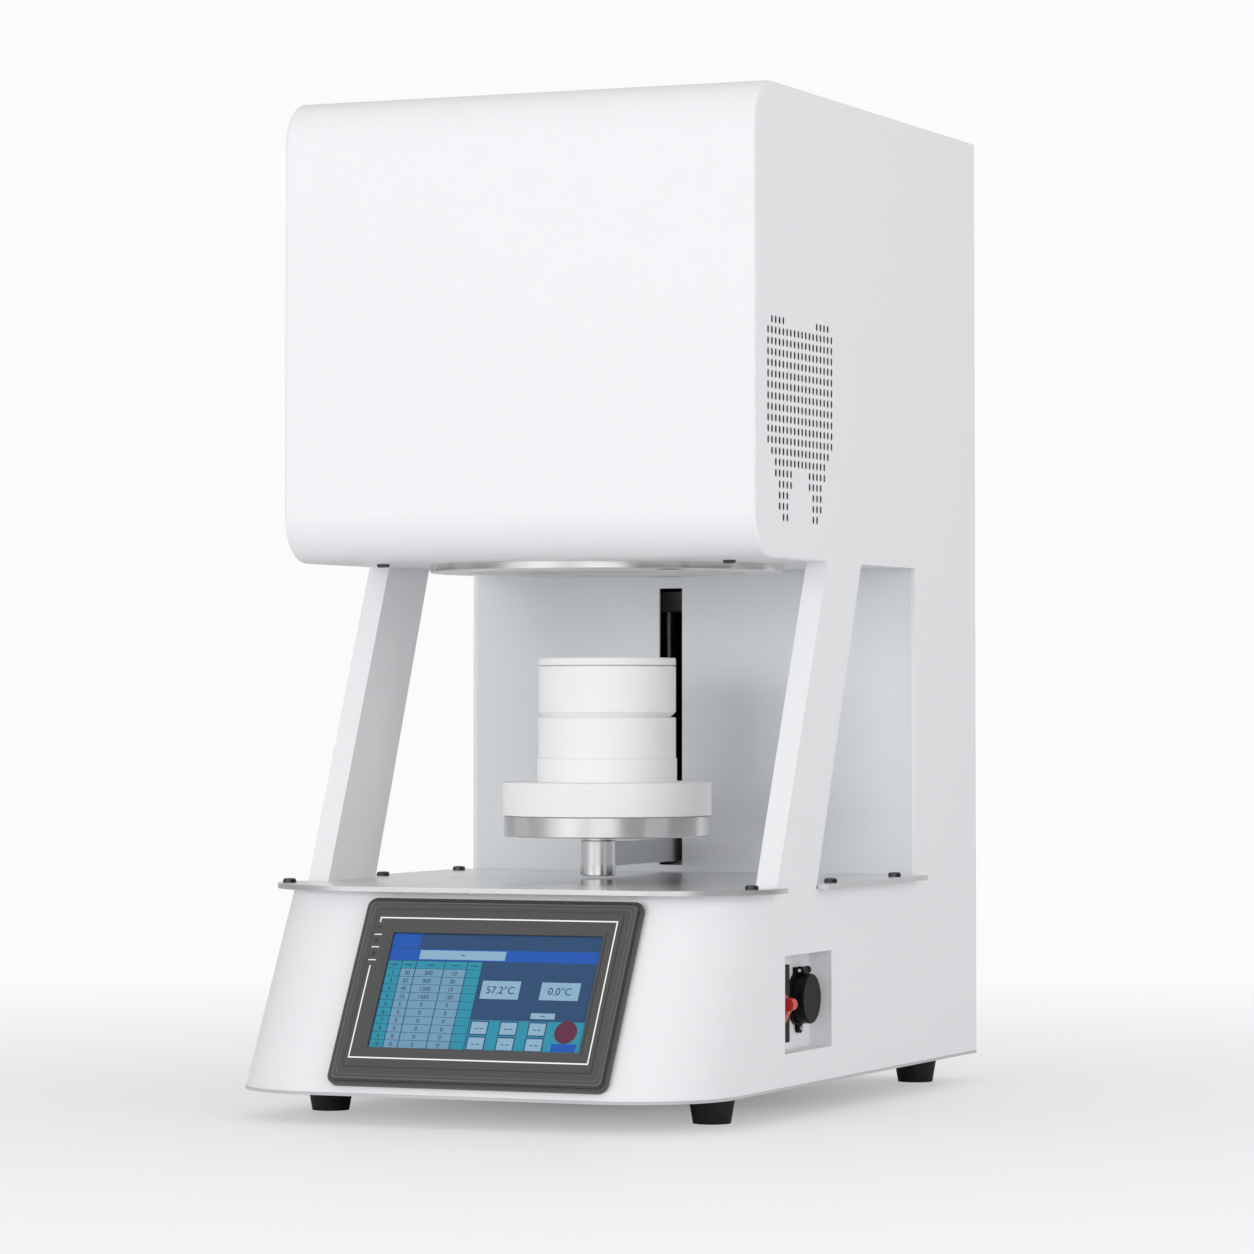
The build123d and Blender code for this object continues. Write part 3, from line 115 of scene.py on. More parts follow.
world = bpy.data.worlds.new("light_tent")
bpy.context.scene.world = world
world.use_nodes = True
tree = world.node_tree
tree.nodes.clear()
sky_out = tree.nodes.new("ShaderNodeOutputWorld")
seen = tree.nodes.new("ShaderNodeBackground")
seen.inputs["Color"].default_value = (1, 1, 1, 1)
seen.inputs["Strength"].default_value = BACKDROP_WHITE
lit = tree.nodes.new("ShaderNodeBackground")
lit.inputs["Color"].default_value = (0.97, 0.985, 1.0, 1)
mirrored = tree.nodes.new("ShaderNodeBackground")
direction = tree.nodes.new("ShaderNodeTexCoord")
split = tree.nodes.new("ShaderNodeSeparateXYZ")
tree.links.new(direction.outputs["Generated"], split.inputs["Vector"])
walls = tree.nodes.new("ShaderNodeValToRGB")
ramp = walls.color_ramp
ramp.interpolation = "EASE"
while len(ramp.elements) < len(WALL_STOPS):
    ramp.elements.new(0.5)
for stop, (place, grey) in zip(ramp.elements, WALL_STOPS):
    stop.position = place
    stop.color = (grey, grey, grey, 1)
tree.links.new(remap(tree, split.outputs["X"], -1, 1), walls.inputs["Fac"])
tree.links.new(walls.outputs["Color"], mirrored.inputs["Color"])
ceiling = remap(tree, split.outputs["Z"], 0.1, 0.9, SKY_LIGHT, SKY_LIGHT * ZENITH_SHARE)
tree.links.new(ceiling, lit.inputs["Strength"])
behind = remap(tree, split.outputs["Y"], -0.1, 0.6, 1.0, BEHIND_SHARE)
tree.links.new(behind, mirrored.inputs["Strength"])
rays = tree.nodes.new("ShaderNodeLightPath")
mix_gloss = tree.nodes.new("ShaderNodeMixShader")
mix_seen = tree.nodes.new("ShaderNodeMixShader")
tree.links.new(rays.outputs["Is Glossy Ray"], mix_gloss.inputs["Fac"])
tree.links.new(lit.outputs["Background"], mix_gloss.inputs[1])
tree.links.new(mirrored.outputs["Background"], mix_gloss.inputs[2])
tree.links.new(rays.outputs["Is Camera Ray"], mix_seen.inputs["Fac"])
tree.links.new(mix_gloss.outputs["Shader"], mix_seen.inputs[1])
tree.links.new(seen.outputs["Background"], mix_seen.inputs[2])
tree.links.new(mix_seen.outputs["Shader"], sky_out.inputs["Surface"])
print(f"world: seen at {BACKDROP_WHITE}, lighting at {SKY_LIGHT}")

# %% [markdown]
# ## The lamps
#
# The front of the furnace is nearly white, its right side a step darker, and no
# shadow has a hard edge. That asks for one large soft box low at the front left,
# which also reaches into the loading bay, and two weak ones overhead and on the
# right. Area lamps are the natural tool: their size sets how soft the shadows
# are, and their power sets the step between the faces.

# %% Hang the soft boxes
LOOK_AT = Vector((0, 0, 0.36))
# name, place in metres, width and height in metres, power in watts
SOFT_BOXES = (
    ("key_left", (-1.0, -3.8, 0.45), 2.6, 1.8, 55),
    ("overhead", (0.2, -0.2, 2.6), 2.0, 2.0, 6),
    ("fill_right", (2.6, -0.9, 0.9), 1.4, 1.8, 13),
)


def soft_box(name, spot, width, height, power):
    """Hangs an area lamp at spot, turned towards the middle of the furnace."""
    data = bpy.data.lights.new(name, "AREA")
    data.shape = "RECTANGLE"
    data.size = width
    data.size_y = height
    data.energy = power
    lamp = bpy.data.objects.new(name, data)
    bpy.context.scene.collection.objects.link(lamp)
    lamp.location = spot
    lamp.visible_glossy = False
    lamp.rotation_euler = (LOOK_AT - Vector(spot)).to_track_quat("-Z", "Y").to_euler()
    print(f"{name}: {power} W over {width} x {height} m")


for box in SOFT_BOXES:
    soft_box(*box)

# %% [markdown]
# ## The floor
#
# The furnace stands on the tent's white sweep. A real sweep curves up behind,
# but a flat sheet whose far parts fade into the white world looks the same and
# keeps the soft shadow near the feet. The fade is worked out from the distance
# to the furnace's middle, so it stays put when the camera moves, and a power
# makes it rise quickly, because a sweep in a tent is nearly white close by.

# %% Lay the floor
FLOOR_REACH = 12.0
FADE_REACH = 1.6
FADE_HASTE = 0.46

floor_mesh = bpy.data.meshes.new("studio_floor")
corners = [(-FLOOR_REACH, -FLOOR_REACH, 0), (FLOOR_REACH, -FLOOR_REACH, 0),
           (FLOOR_REACH, FLOOR_REACH, 0), (-FLOOR_REACH, FLOOR_REACH, 0)]
floor_mesh.from_pydata(corners, [], [(0, 1, 2, 3)])
studio_floor = bpy.data.objects.new("studio_floor", floor_mesh)
bpy.context.scene.collection.objects.link(studio_floor)

sweep = bpy.data.materials.new("white_sweep")
sweep.use_nodes = True
tree = sweep.node_tree
paper = tree.nodes["Principled BSDF"]
paper.inputs["Base Color"].default_value = (0.92, 0.92, 0.925, 1)
paper.inputs["Roughness"].default_value = 0.55
glow = tree.nodes.new("ShaderNodeEmission")
glow.inputs["Color"].default_value = (BACKDROP_WHITE, BACKDROP_WHITE, BACKDROP_WHITE, 1)
spot = tree.nodes.new("ShaderNodeNewGeometry")
far = tree.nodes.new("ShaderNodeVectorMath")
far.operation = "LENGTH"
tree.links.new(spot.outputs["Position"], far.inputs[0])
early = tree.nodes.new("ShaderNodeMath")
early.operation = "POWER"
early.inputs[1].default_value = FADE_HASTE
tree.links.new(remap(tree, far.outputs["Value"], 0, FADE_REACH), early.inputs[0])
rays = tree.nodes.new("ShaderNodeLightPath")
only_seen = tree.nodes.new("ShaderNodeMath")
only_seen.operation = "MULTIPLY"
tree.links.new(early.outputs["Value"], only_seen.inputs[0])
tree.links.new(rays.outputs["Is Camera Ray"], only_seen.inputs[1])
mix = tree.nodes.new("ShaderNodeMixShader")
tree.links.new(only_seen.outputs["Value"], mix.inputs["Fac"])
tree.links.new(paper.outputs["BSDF"], mix.inputs[1])
tree.links.new(glow.outputs["Emission"], mix.inputs[2])
tree.links.new(mix.outputs["Shader"], tree.nodes["Material Output"].inputs["Surface"])
floor_mesh.materials.append(sweep)
print(f"floor fades to white within {FADE_REACH} m")

# %% [markdown]
# ## A toolbox for finishes
#
# Every finish here is a Principled shader with something fine laid over it: the
# orange peel of powder coat, the lines of a brush, the fluff of fibre. Image
# textures could carry that, but noise worked out from the place on the object
# has no seams and any scale. Since each node keeps its place in its mesh, its
# object coordinates are real metres, and so are the sizes below.

# %% Helpers for finishes
def finish(name, colour, roughness, metallic=0.0):
    """A plain Principled material."""
    made = bpy.data.materials.new(name)
    made.use_nodes = True
    shader = made.node_tree.nodes["Principled BSDF"]
    shader.inputs["Base Color"].default_value = (*colour, 1)
    shader.inputs["Roughness"].default_value = roughness
    shader.inputs["Metallic"].default_value = metallic
    return made


def object_place(tree, stretch=(1, 1, 1)):
    """Object coordinates, stretched by a factor along each axis."""
    place = tree.nodes.new("ShaderNodeTexCoord")
    scaled = tree.nodes.new("ShaderNodeVectorMath")
    scaled.operation = "MULTIPLY"
    scaled.inputs[1].default_value = stretch
    tree.links.new(place.outputs["Object"], scaled.inputs[0])
    return scaled.outputs["Vector"]


def ring_place(tree, centre):
    """Distance from an upright axis and height, for rings left by a lathe."""
    place = tree.nodes.new("ShaderNodeTexCoord")
    moved = tree.nodes.new("ShaderNodeVectorMath")
    moved.operation = "SUBTRACT"
    moved.inputs[1].default_value = centre
    tree.links.new(place.outputs["Object"], moved.inputs[0])
    flat = tree.nodes.new("ShaderNodeVectorMath")
    flat.operation = "MULTIPLY"
    flat.inputs[1].default_value = (1, 1, 0)
    tree.links.new(moved.outputs["Vector"], flat.inputs[0])
    radius = tree.nodes.new("ShaderNodeVectorMath")
    radius.operation = "LENGTH"
    tree.links.new(flat.outputs["Vector"], radius.inputs[0])
    split = tree.nodes.new("ShaderNodeSeparateXYZ")
    tree.links.new(moved.outputs["Vector"], split.inputs["Vector"])
    joined = tree.nodes.new("ShaderNodeCombineXYZ")
    tree.links.new(radius.outputs["Value"], joined.inputs["X"])
    tree.links.new(split.outputs["Z"], joined.inputs["Z"])
    return joined.outputs["Vector"]


def noise(tree, place, scale, detail=2.0, roughness=0.5):
    """Noise at a number of lumps per metre."""
    made = tree.nodes.new("ShaderNodeTexNoise")
    made.inputs["Scale"].default_value = scale
    made.inputs["Detail"].default_value = detail
    made.inputs["Roughness"].default_value = roughness
    tree.links.new(place, made.inputs["Vector"])
    return made.outputs["Fac"]


def raise_grain(made, height, strength, depth):
    """Turns a grey value into relief; depth is the relief's height in metres."""
    tree = made.node_tree
    relief = tree.nodes.new("ShaderNodeBump")
    relief.inputs["Strength"].default_value = strength
    relief.inputs["Distance"].default_value = depth
    tree.links.new(height, relief.inputs["Height"])
    tree.links.new(relief.outputs["Normal"],
                   tree.nodes["Principled BSDF"].inputs["Normal"])


def soften_edges(made, radius):
    """Lets light catch an edge as if it were broken by radius metres."""
    tree = made.node_tree
    edge = tree.nodes.new("ShaderNodeBevel")
    edge.samples = 4
    edge.inputs["Radius"].default_value = radius
    relief = [n for n in tree.nodes if n.bl_idname == "ShaderNodeBump"]
    if relief:
        tree.links.new(edge.outputs["Normal"], relief[0].inputs["Normal"])
    else:
        tree.links.new(edge.outputs["Normal"],
                       tree.nodes["Principled BSDF"].inputs["Normal"])


def vary(made, socket, fac, low, high):
    """Spreads a shader value between low and high by a grey value."""
    tree = made.node_tree
    tree.links.new(remap(tree, fac, 0, 1, low, high),
                   tree.nodes["Principled BSDF"].inputs[socket])


def tint(made, fac, dark, light):
    """Spreads the base colour between two colours by a grey value."""
    tree = made.node_tree
    blend = tree.nodes.new("ShaderNodeMix")
    blend.data_type = "RGBA"
    blend.inputs["A"].default_value = (*dark, 1)
    blend.inputs["B"].default_value = (*light, 1)
    tree.links.new(fac, blend.inputs["Factor"])
    tree.links.new(blend.outputs["Result"],
                   tree.nodes["Principled BSDF"].inputs["Base Color"])


print("helpers for finishes are ready")

# %% [markdown]
# ## Powder coat
#
# The cabinet's sheets are sprayed with white powder and baked. Seen close, the
# coat has a faint orange peel about a millimetre across, a satin gloss, and its
# thickness rounds every cut edge a little. A fine bump makes the peel. The
# Bevel node rounds the edges in the shading, which is enough for a sheet whose
# real edge radius is half a millimetre. The side sheets go without it, because
# it would draw a line round the slotted field that is flush with them. The
# slot walls carry painted shade: at a distance from the furnace's middle plane
# just short of the outer face the colour turns near-black, so the slots read as
# dark, shaded gaps.

# %% Mix the powder coats
PEEL_SCALE = 900
COAT_LIGHT, COAT_SHADE = (0.885, 0.890, 0.900), (0.875, 0.880, 0.892)
COAT_ROUGHNESS = 0.36
# near-black painted shade for the slot walls, and the span over which it takes over from the coat
SLOT_WALL_SHADE = (0.02, 0.02, 0.022)
SLOT_SHADE_IN, SLOT_SHADE_OUT = 0.1794, 0.1799


def powder_coat(name, light, shade, roughness, edge):
    """Satin baked powder with orange peel, and broken edges if edge is set."""
    coat = finish(name, light, roughness)
    tree = coat.node_tree
    peel = noise(tree, object_place(tree), PEEL_SCALE, detail=2)
    raise_grain(coat, peel, 0.10, 0.0002)
    patches = noise(tree, object_place(tree), 6, detail=3)
    vary(coat, "Roughness", patches, roughness - 0.05, roughness + 0.05)
    tint(coat, patches, shade, light)
    if edge:
        soften_edges(coat, edge)
    return coat


def bare_cuts(coat, bare):
    """Paints shade on the slot walls: just under the outer face the coat gives way to the
    near-black painted shade passed as bare.
    """
    tree = coat.node_tree
    shader = tree.nodes["Principled BSDF"]
    coated = shader.inputs["Base Color"].links[0].from_socket
    place = tree.nodes.new("ShaderNodeSeparateXYZ")
    tree.links.new(object_place(tree), place.inputs["Vector"])
    out_from_middle = tree.nodes.new("ShaderNodeMath")
    out_from_middle.operation = "ABSOLUTE"
    tree.links.new(place.outputs["X"], out_from_middle.inputs[0])
    reach = remap(tree, out_from_middle.outputs["Value"], SLOT_SHADE_IN, SLOT_SHADE_OUT)
    blend = tree.nodes.new("ShaderNodeMix")
    blend.data_type = "RGBA"
    # bare holds the near-black painted shade colour for the slot walls
    blend.inputs["A"].default_value = (*bare, 1)
    tree.links.new(coated, blend.inputs["B"])
    tree.links.new(reach, blend.inputs["Factor"])
    tree.links.new(blend.outputs["Result"], shader.inputs["Base Color"])
    return coat


cabinet_white = powder_coat("cabinet_white", COAT_LIGHT, COAT_SHADE, COAT_ROUGHNESS, 0.0005)
# the vent panels' slot walls are darkened with painted shade
vent_white = bare_cuts(powder_coat("vent_white", COAT_LIGHT, COAT_SHADE, COAT_ROUGHNESS, 0),
                       SLOT_WALL_SHADE)
side_white = powder_coat("side_white", COAT_LIGHT, COAT_SHADE, COAT_ROUGHNESS, 0)
bay_grey = powder_coat("bay_grey", (0.80, 0.815, 0.835), (0.78, 0.795, 0.815), 0.45, 0.0004)
floor_zinc = powder_coat("floor_zinc", (0.60, 0.61, 0.62), (0.50, 0.51, 0.52), 0.45, 0.0004)
print("powder coats mixed")

# %% [markdown]
# ## Stainless steel
#
# Three steels are on view. The deck is sheet with a fine brush that runs across
# it. The flange and the tray are turned, so their lines are rings. The post is
# polished. All are metallic shaders; what tells them apart is the direction of
# the fine lines. For the deck the noise is stretched along X, and for turned
# pieces it is read from the distance to the axis, as a lathe tool would leave it.
# The sheet and the shafts inside are kept dark as painted shade: their colours stand in for the
# shade inside the cabinet that the slots show.

# %% Brush and turn the steels
HEARTH_AXIS = Vector((0, -0.0175, 0))
POST_AXIS = Vector((-0.007, -0.0175, 0))
DRIVE_AXIS = Vector((-0.016, 0.1965, 0))
STEEL_EDGE = 0.0004


def brushed_sheet(name, colour, roughness, stretch):
    """Sheet steel whose brush lines run along the axis with the low stretch."""
    steel = finish(name, colour, roughness, 1.0)
    tree = steel.node_tree
    lines = noise(tree, object_place(tree, stretch), 900, detail=4, roughness=0.6)
    raise_grain(steel, lines, 0.12, 0.00008)
    hands = noise(tree, object_place(tree), 9, detail=4)
    vary(steel, "Roughness", hands, roughness - 0.06, roughness + 0.10)
    soften_edges(steel, STEEL_EDGE)
    return steel


def turned_steel(name, colour, roughness, centre):
    """Steel with the rings of a lathe about an upright axis."""
    steel = finish(name, colour, roughness, 1.0)
    tree = steel.node_tree
    rings = noise(tree, ring_place(tree, centre), 2200, detail=3, roughness=0.7)
    raise_grain(steel, rings, 0.10, 0.00003)
    wide = noise(tree, ring_place(tree, centre), 160, detail=2)
    vary(steel, "Roughness", wide, roughness - 0.05, roughness + 0.08)
    soften_edges(steel, STEEL_EDGE)
    return steel


deck_brushed = brushed_sheet("deck_brushed", (0.78, 0.785, 0.79), 0.24, (0.02, 1, 1))
# painted shade: the near-black inner sheet stands in for the shade behind the vent slots
shaded_inner_sheet = brushed_sheet("shaded_inner_sheet", (0.075, 0.077, 0.08), 0.50, (1, 1, 0.05))
flange_turned = turned_steel("flange_turned", (0.80, 0.795, 0.785), 0.22, HEARTH_AXIS)
tray_turned = turned_steel("tray_turned", (0.84, 0.84, 0.84), 0.17, HEARTH_AXIS)
post_polished = turned_steel("post_polished", (0.82, 0.82, 0.825), 0.10, POST_AXIS)
# painted shade: the shafts' dark grey stands in for the shade inside the lift slot
shaded_shaft_steel = turned_steel("shaded_shaft_steel", (0.24, 0.24, 0.25), 0.36, DRIVE_AXIS)
arm_steel = brushed_sheet("arm_steel", (0.66, 0.665, 0.67), 0.36, (1, 0.05, 1))
print("steels brushed, turned and polished")

# %% [markdown]
# ## Screws, aluminium and brass
#
# The screws round the deck are black oxide, the small ones bright. The lift's
# carriage and blocks are machined aluminium, its nut is brass. None is large in
# the picture, but each is met when the furnace is turned round or opened, so
# each gets its own colour and a little unevenness.

# %% Make the small metals
def small_metal(name, colour, roughness, grain=0.15):
    """A bare or treated metal with a slightly uneven surface."""
    metal = finish(name, colour, roughness, 1.0)
    tree = metal.node_tree
    pits = noise(tree, object_place(tree), 1400, detail=3)
    raise_grain(metal, pits, grain, 0.00005)
    vary(metal, "Roughness", pits, roughness - 0.06, roughness + 0.08)
    soften_edges(metal, 0.0003)
    return metal


screw_black = small_metal("screw_black", (0.10, 0.10, 0.105), 0.32)
screw_bright = small_metal("screw_bright", (0.72, 0.72, 0.73), 0.20)
drive_aluminium = small_metal("drive_aluminium", (0.62, 0.63, 0.64), 0.36)
nut_brass = small_metal("nut_brass", (0.62, 0.45, 0.20), 0.30)
strap_metal = small_metal("strap_metal", (0.70, 0.70, 0.71), 0.42, 0.5)
print("screws, aluminium and brass made")

# %% [markdown]
# ## Fibre and fired ceramic
#
# The chamber and the hearth disc are pressed ceramic fibre: chalky, soft at the
# edges, and finely pitted. The crucibles and the step under them are fired
# alumina, smoother and a touch brighter, with the faint speckle of a fired
# surface. Both are matt, so the difference lies in the size of the grain. A
# little subsurface scattering would blur the crucibles' crisp edges and is left
# out.

# %% Press the fibre and fire the ceramic
def ceramic(name, light, shade, roughness, lumps, strength, depth, edge):
    """A chalky white with fine relief and slight mottling."""
    made = finish(name, light, roughness)
    tree = made.node_tree
    grain = noise(tree, object_place(tree), lumps, detail=6, roughness=0.65)
    raise_grain(made, grain, strength, depth)
    mottle = noise(tree, object_place(tree), 40, detail=4)
    tint(made, mottle, shade, light)
    soften_edges(made, edge)
    return made


chamber_fibre = ceramic("chamber_fibre", (0.84, 0.835, 0.82), (0.76, 0.755, 0.74), 0.92,
                        600, 0.55, 0.0006, 0.0008)
hearth_fibre = ceramic("hearth_fibre", (0.95, 0.945, 0.94), (0.92, 0.915, 0.91), 0.88,
                       700, 0.30, 0.0003, 0.0008)
crucible_alumina = ceramic("crucible_alumina", (0.95, 0.948, 0.945), (0.925, 0.923, 0.92),
                           0.62, 1500, 0.15, 0.0001, 0.0006)
heater_glaze = ceramic("heater_glaze", (0.13, 0.125, 0.12), (0.08, 0.078, 0.075), 0.35,
                       900, 0.3, 0.0002, 0.0003)
probe_ceramic = ceramic("probe_ceramic", (0.70, 0.66, 0.58), (0.62, 0.58, 0.50), 0.6,
                        900, 0.2, 0.0002, 0.0003)
print("fibre pressed, ceramic fired")

# %% [markdown]
# ## Plastics and rubber
#
# The screen's frame is a dark grey moulding with a satin, faintly brushed look.
# The socket cap and the breaker are glossy black, the lever glossy red, and the
# feet dull black rubber. A moulding's surface is never flat: a fine leather or
# spark grain breaks the gloss, coarser on rubber than on a switch. The socket,
# the breaker and the lift's channel mirror very little, or the white tent would
# turn them grey.

# %% Mould the plastics
GRAIN_DEPTH = 0.0001
DEEP_BLACK_MIRROR = 0.06


def moulding(name, colour, roughness, lumps, strength, edge=0.0004):
    """A moulded plastic or rubber with its tool's grain."""
    made = finish(name, colour, roughness)
    tree = made.node_tree
    grain = noise(tree, object_place(tree), lumps, detail=4, roughness=0.6)
    raise_grain(made, grain, strength, GRAIN_DEPTH)
    vary(made, "Roughness", noise(tree, object_place(tree), 60, detail=3),
         roughness - 0.04, roughness + 0.06)
    soften_edges(made, edge)
    return made


bezel_grey = moulding("bezel_grey", (0.058, 0.057, 0.057), 0.34, 1600, 0.12)
switch_black = moulding("switch_black", (0.008, 0.008, 0.009), 0.22, 900, 0.06)
lever_red = moulding("lever_red", (0.62, 0.022, 0.018), 0.22, 900, 0.06)
foot_rubber = moulding("foot_rubber", (0.012, 0.012, 0.012), 0.62, 1300, 0.35, 0.0008)
housing_black = moulding("housing_black", (0.025, 0.025, 0.028), 0.5, 1300, 0.2)
gland_black = moulding("gland_black", (0.02, 0.02, 0.02), 0.42, 1200, 0.2)
core_black = moulding("core_black", (0.045, 0.045, 0.05), 0.42, 500, 0.3)
board_green = moulding("board_green", (0.012, 0.13, 0.05), 0.35, 700, 0.2)
# the lift channel is a black part, and its near-black colour also serves as painted shade for the
# dark slot it shows through
channel_black_shade = moulding("channel_black_shade", (0.006, 0.006, 0.006), 0.75, 900, 0.1)
block_cream = moulding("block_cream", (0.62, 0.60, 0.52), 0.45, 1100, 0.2)
for deep_black in (switch_black, channel_black_shade):
    shader = deep_black.node_tree.nodes["Principled BSDF"]
    shader.inputs["Specular IOR Level"].default_value = DEEP_BLACK_MIRROR
print("plastics and rubber moulded")

# %% [markdown]
# ## Which node gets which finish
#
# The CAD nodes stay as they are and only take a material. A plain table keeps
# that readable, and the check after it catches a node that was forgotten.

# %% Dress the nodes
DRESS = {
    cabinet_white: ["head_wrap", "base_shell", "niche_box", "rear_cover"],
    side_white: ["left_side_frame", "right_side_frame"],
    vent_white: ["vent_panels"],
    bay_grey: ["inner_back_panel"],
    floor_zinc: ["base_floor"],
    deck_brushed: ["deck_plate"],
    shaded_inner_sheet: ["chamber_casing", "casing_top", "motor_plate"],
    flange_turned: ["chamber_flange"],
    tray_turned: ["hearth_tray"],
    post_polished: ["lift_post"],
    shaded_shaft_steel: ["guide_shafts", "lead_screw"],
    arm_steel: ["lift_arm"],
    screw_black: ["deck_screws", "cabinet_screws"],
    screw_bright: ["flange_screws", "socket_screw", "hinge_pin"],
    drive_aluminium: ["lift_carriage", "bearing_blocks", "shaft_coupling", "heat_sink"],
    nut_brass: ["lift_nut"],
    strap_metal: ["power_straps"],
    chamber_fibre: ["insulation_floor", "insulation_wall", "insulation_roof"],
    hearth_fibre: ["hearth_disc"],
    crucible_alumina: ["crucible_step", "lower_crucible", "upper_crucible", "crucible_lid",
                       "element_holders"],
    heater_glaze: ["heating_elements"],
    probe_ceramic: ["thermocouple"],
    bezel_grey: ["panel_bezel"],
    switch_black: ["socket_cap", "socket_flange", "breaker_body"],
    lever_red: ["breaker_lever"],
    foot_rubber: ["rubber_feet", "panel_gasket"],
    housing_black: ["panel_housing", "panel_clamps", "power_supply", "fan_frame",
                    "fan_rotor"],
    channel_black_shade: ["lift_frame"],
    gland_black: ["cable_gland"],
    core_black: ["transformer", "lift_motor"],
    board_green: ["controller_board"],
    block_cream: ["terminal_block"],
}
dressed = set()
for made, names in DRESS.items():
    for name in names:
        slots = nodes[name].data.materials
        slots.clear()
        slots.append(made)
        dressed.add(name)
print(f"{len(dressed)} nodes dressed; bare: {sorted(set(nodes) - dressed)}")

# %% [markdown]
# ## Working on the slanted panel
#
# The panel leans back with the front of the foot. Everything on it is easiest
# to place in the panel's own millimetres: x to the right, y up the slope, and
# lift straight out of the screen, all counted from the middle of the glass. One
# matrix turns those into the furnace's metres.

# %% Set up the panel's own millimetres
SLOPE_RUN = 73.5
SLOPE_RISE = 135.5
GLASS_THICK = 0.002
MM = 0.001

slope_length = math.hypot(SLOPE_RUN, SLOPE_RISE)
up_slope = Vector((0, SLOPE_RUN, SLOPE_RISE)) / slope_length
out_slope = Vector((0, -SLOPE_RISE, SLOPE_RUN)) / slope_length
glass_low, glass_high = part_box("touch_screen")
glass_middle = (glass_low + glass_high) / 2 + out_slope * GLASS_THICK / 2
panel_turn = Matrix((Vector((1, 0, 0)), up_slope, out_slope)).transposed().to_4x4()
panel_place = Matrix.Translation(glass_middle) @ panel_turn @ Matrix.Scale(MM, 4)
print(f"the glass is {1000 * (glass_high.x - glass_low.x):.0f} mm wide, "
      f"its middle {1000 * glass_middle.z:.0f} mm above the table")


def add_piece(name, shape, material, body):
    """Turns a bmesh into an object that rides on a body."""
    mesh = bpy.data.meshes.new(name)
    shape.to_mesh(mesh)
    shape.free()
    mesh.materials.append(material)
    piece = bpy.data.objects.new(name, mesh)
    bpy.context.scene.collection.objects.link(piece)
    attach(piece, body)
    return piece


def slab(shape, left, low, right, high, bottom, top, bevel=0.0):
    """A box in the panel's millimetres, its upper rim broken by bevel."""
    made = bmesh.ops.create_cube(shape, size=1)["verts"]
    for vert in made:
        vert.co = Vector((left + (vert.co.x + 0.5) * (right - left),
                          low + (vert.co.y + 0.5) * (high - low),
                          bottom + (vert.co.z + 0.5) * (top - bottom)))
    if bevel:
        rims = [e for v in made for e in v.link_edges
                if all(abs(w.co.z - top) < 1e-6 for w in e.verts)]
        bmesh.ops.bevel(shape, geom=list(set(rims)), offset=bevel, segments=2, profile=0.5,
                        affect="EDGES")


# %% [markdown]
# ## The frame round the glass
#
# The bezel's face carries a raised inner frame, a thin inlaid line of bright
# metal and three little windows for its lamps. The frame could be a cube with a
# hole cut by a Boolean, but five outlines joined ring by ring give cleaner
# faces and let each rim have its own slope: up from the bezel, across, and down
# towards the glass. Two hair-thin ridges nearer the outer edge, made the same
# way, stand for the moulding's stepped rim: they catch a little real light, and
# their grey, lighter than the bezel's, is a painted highlight along the rim.

# %% Shape the raised inner frame
BEZEL_TOP = 1.2
FRAME_TOP = 1.9
BEZEL_LEFT, BEZEL_RIGHT, BEZEL_HALF_HEIGHT = -104.2, 102.8, 70
RIDGE_CORNER = 3.4
RIDGE_RISE = 0.12
RIDGE_SLOPE = 0.1
# inset from the bezel's edge, width
RIDGES = ((3.9, 0.5), (6.6, 0.35))
# left, low, right, high, corner radius, height
INNER_FRAME = (
    (-94.0, -58.0, 90.8, 60.6, 2.0, BEZEL_TOP - 0.2),
    (-93.6, -57.6, 90.4, 60.2, 1.8, FRAME_TOP - 0.2),
    (-93.2, -57.2, 90.0, 59.8, 1.6, FRAME_TOP),
    (-82.4, -46.4, 81.6, 48.4, 1.2, FRAME_TOP),
    (-79.6, -44.2, 79.6, 45.2, 0.8, BEZEL_TOP - 0.2),
)


def ring_outline(left, low, right, high, radius, steps=5):
    """A rectangle with rounded corners, counted anticlockwise."""
    points = []
    for cx, cy, start in ((right - radius, high - radius, 0), (left + radius, high - radius, 90),
                          (left + radius, low + radius, 180), (right - radius, low + radius, 270)):
        for i in range(steps + 1):
            turn = math.radians(start + 90 * i / steps)
            points.append((cx + radius * math.cos(turn), cy + radius * math.sin(turn)))
    return points


def stacked_rings(shape, rings):
    """Joins outlines of equal count, each at its own height, into a band."""
    rows = [[shape.verts.new((x, y, height)) for x, y in outline] for outline, height in rings]
    count = len(rows[0])
    for lower, upper in zip(rows, rows[1:]):
        for i in range(count):
            j = (i + 1) % count
            shape.faces.new((lower[i], lower[j], upper[j], upper[i]))


shape = bmesh.new()
stacked_rings(shape, [(ring_outline(*outline), height) for *outline, height in INNER_FRAME])
bmesh.ops.recalc_face_normals(shape, faces=shape.faces)
shape.transform(panel_place)
inner_frame = add_piece("panel_inner_frame", shape, bezel_grey, "cabinet")

shape = bmesh.new()
for inset, width in RIDGES:
    stacked_rings(shape, [
        (ring_outline(BEZEL_LEFT + inset + step, inset + step - BEZEL_HALF_HEIGHT,
                      BEZEL_RIGHT - inset - step, BEZEL_HALF_HEIGHT - inset - step,
                      RIDGE_CORNER), BEZEL_TOP + rise)
        for step, rise in ((0, -RIDGE_SLOPE), (RIDGE_SLOPE, RIDGE_RISE), (width, RIDGE_RISE),
                           (width + RIDGE_SLOPE, -RIDGE_SLOPE))])
bmesh.ops.recalc_face_normals(shape, faces=shape.faces)
shape.transform(panel_place)
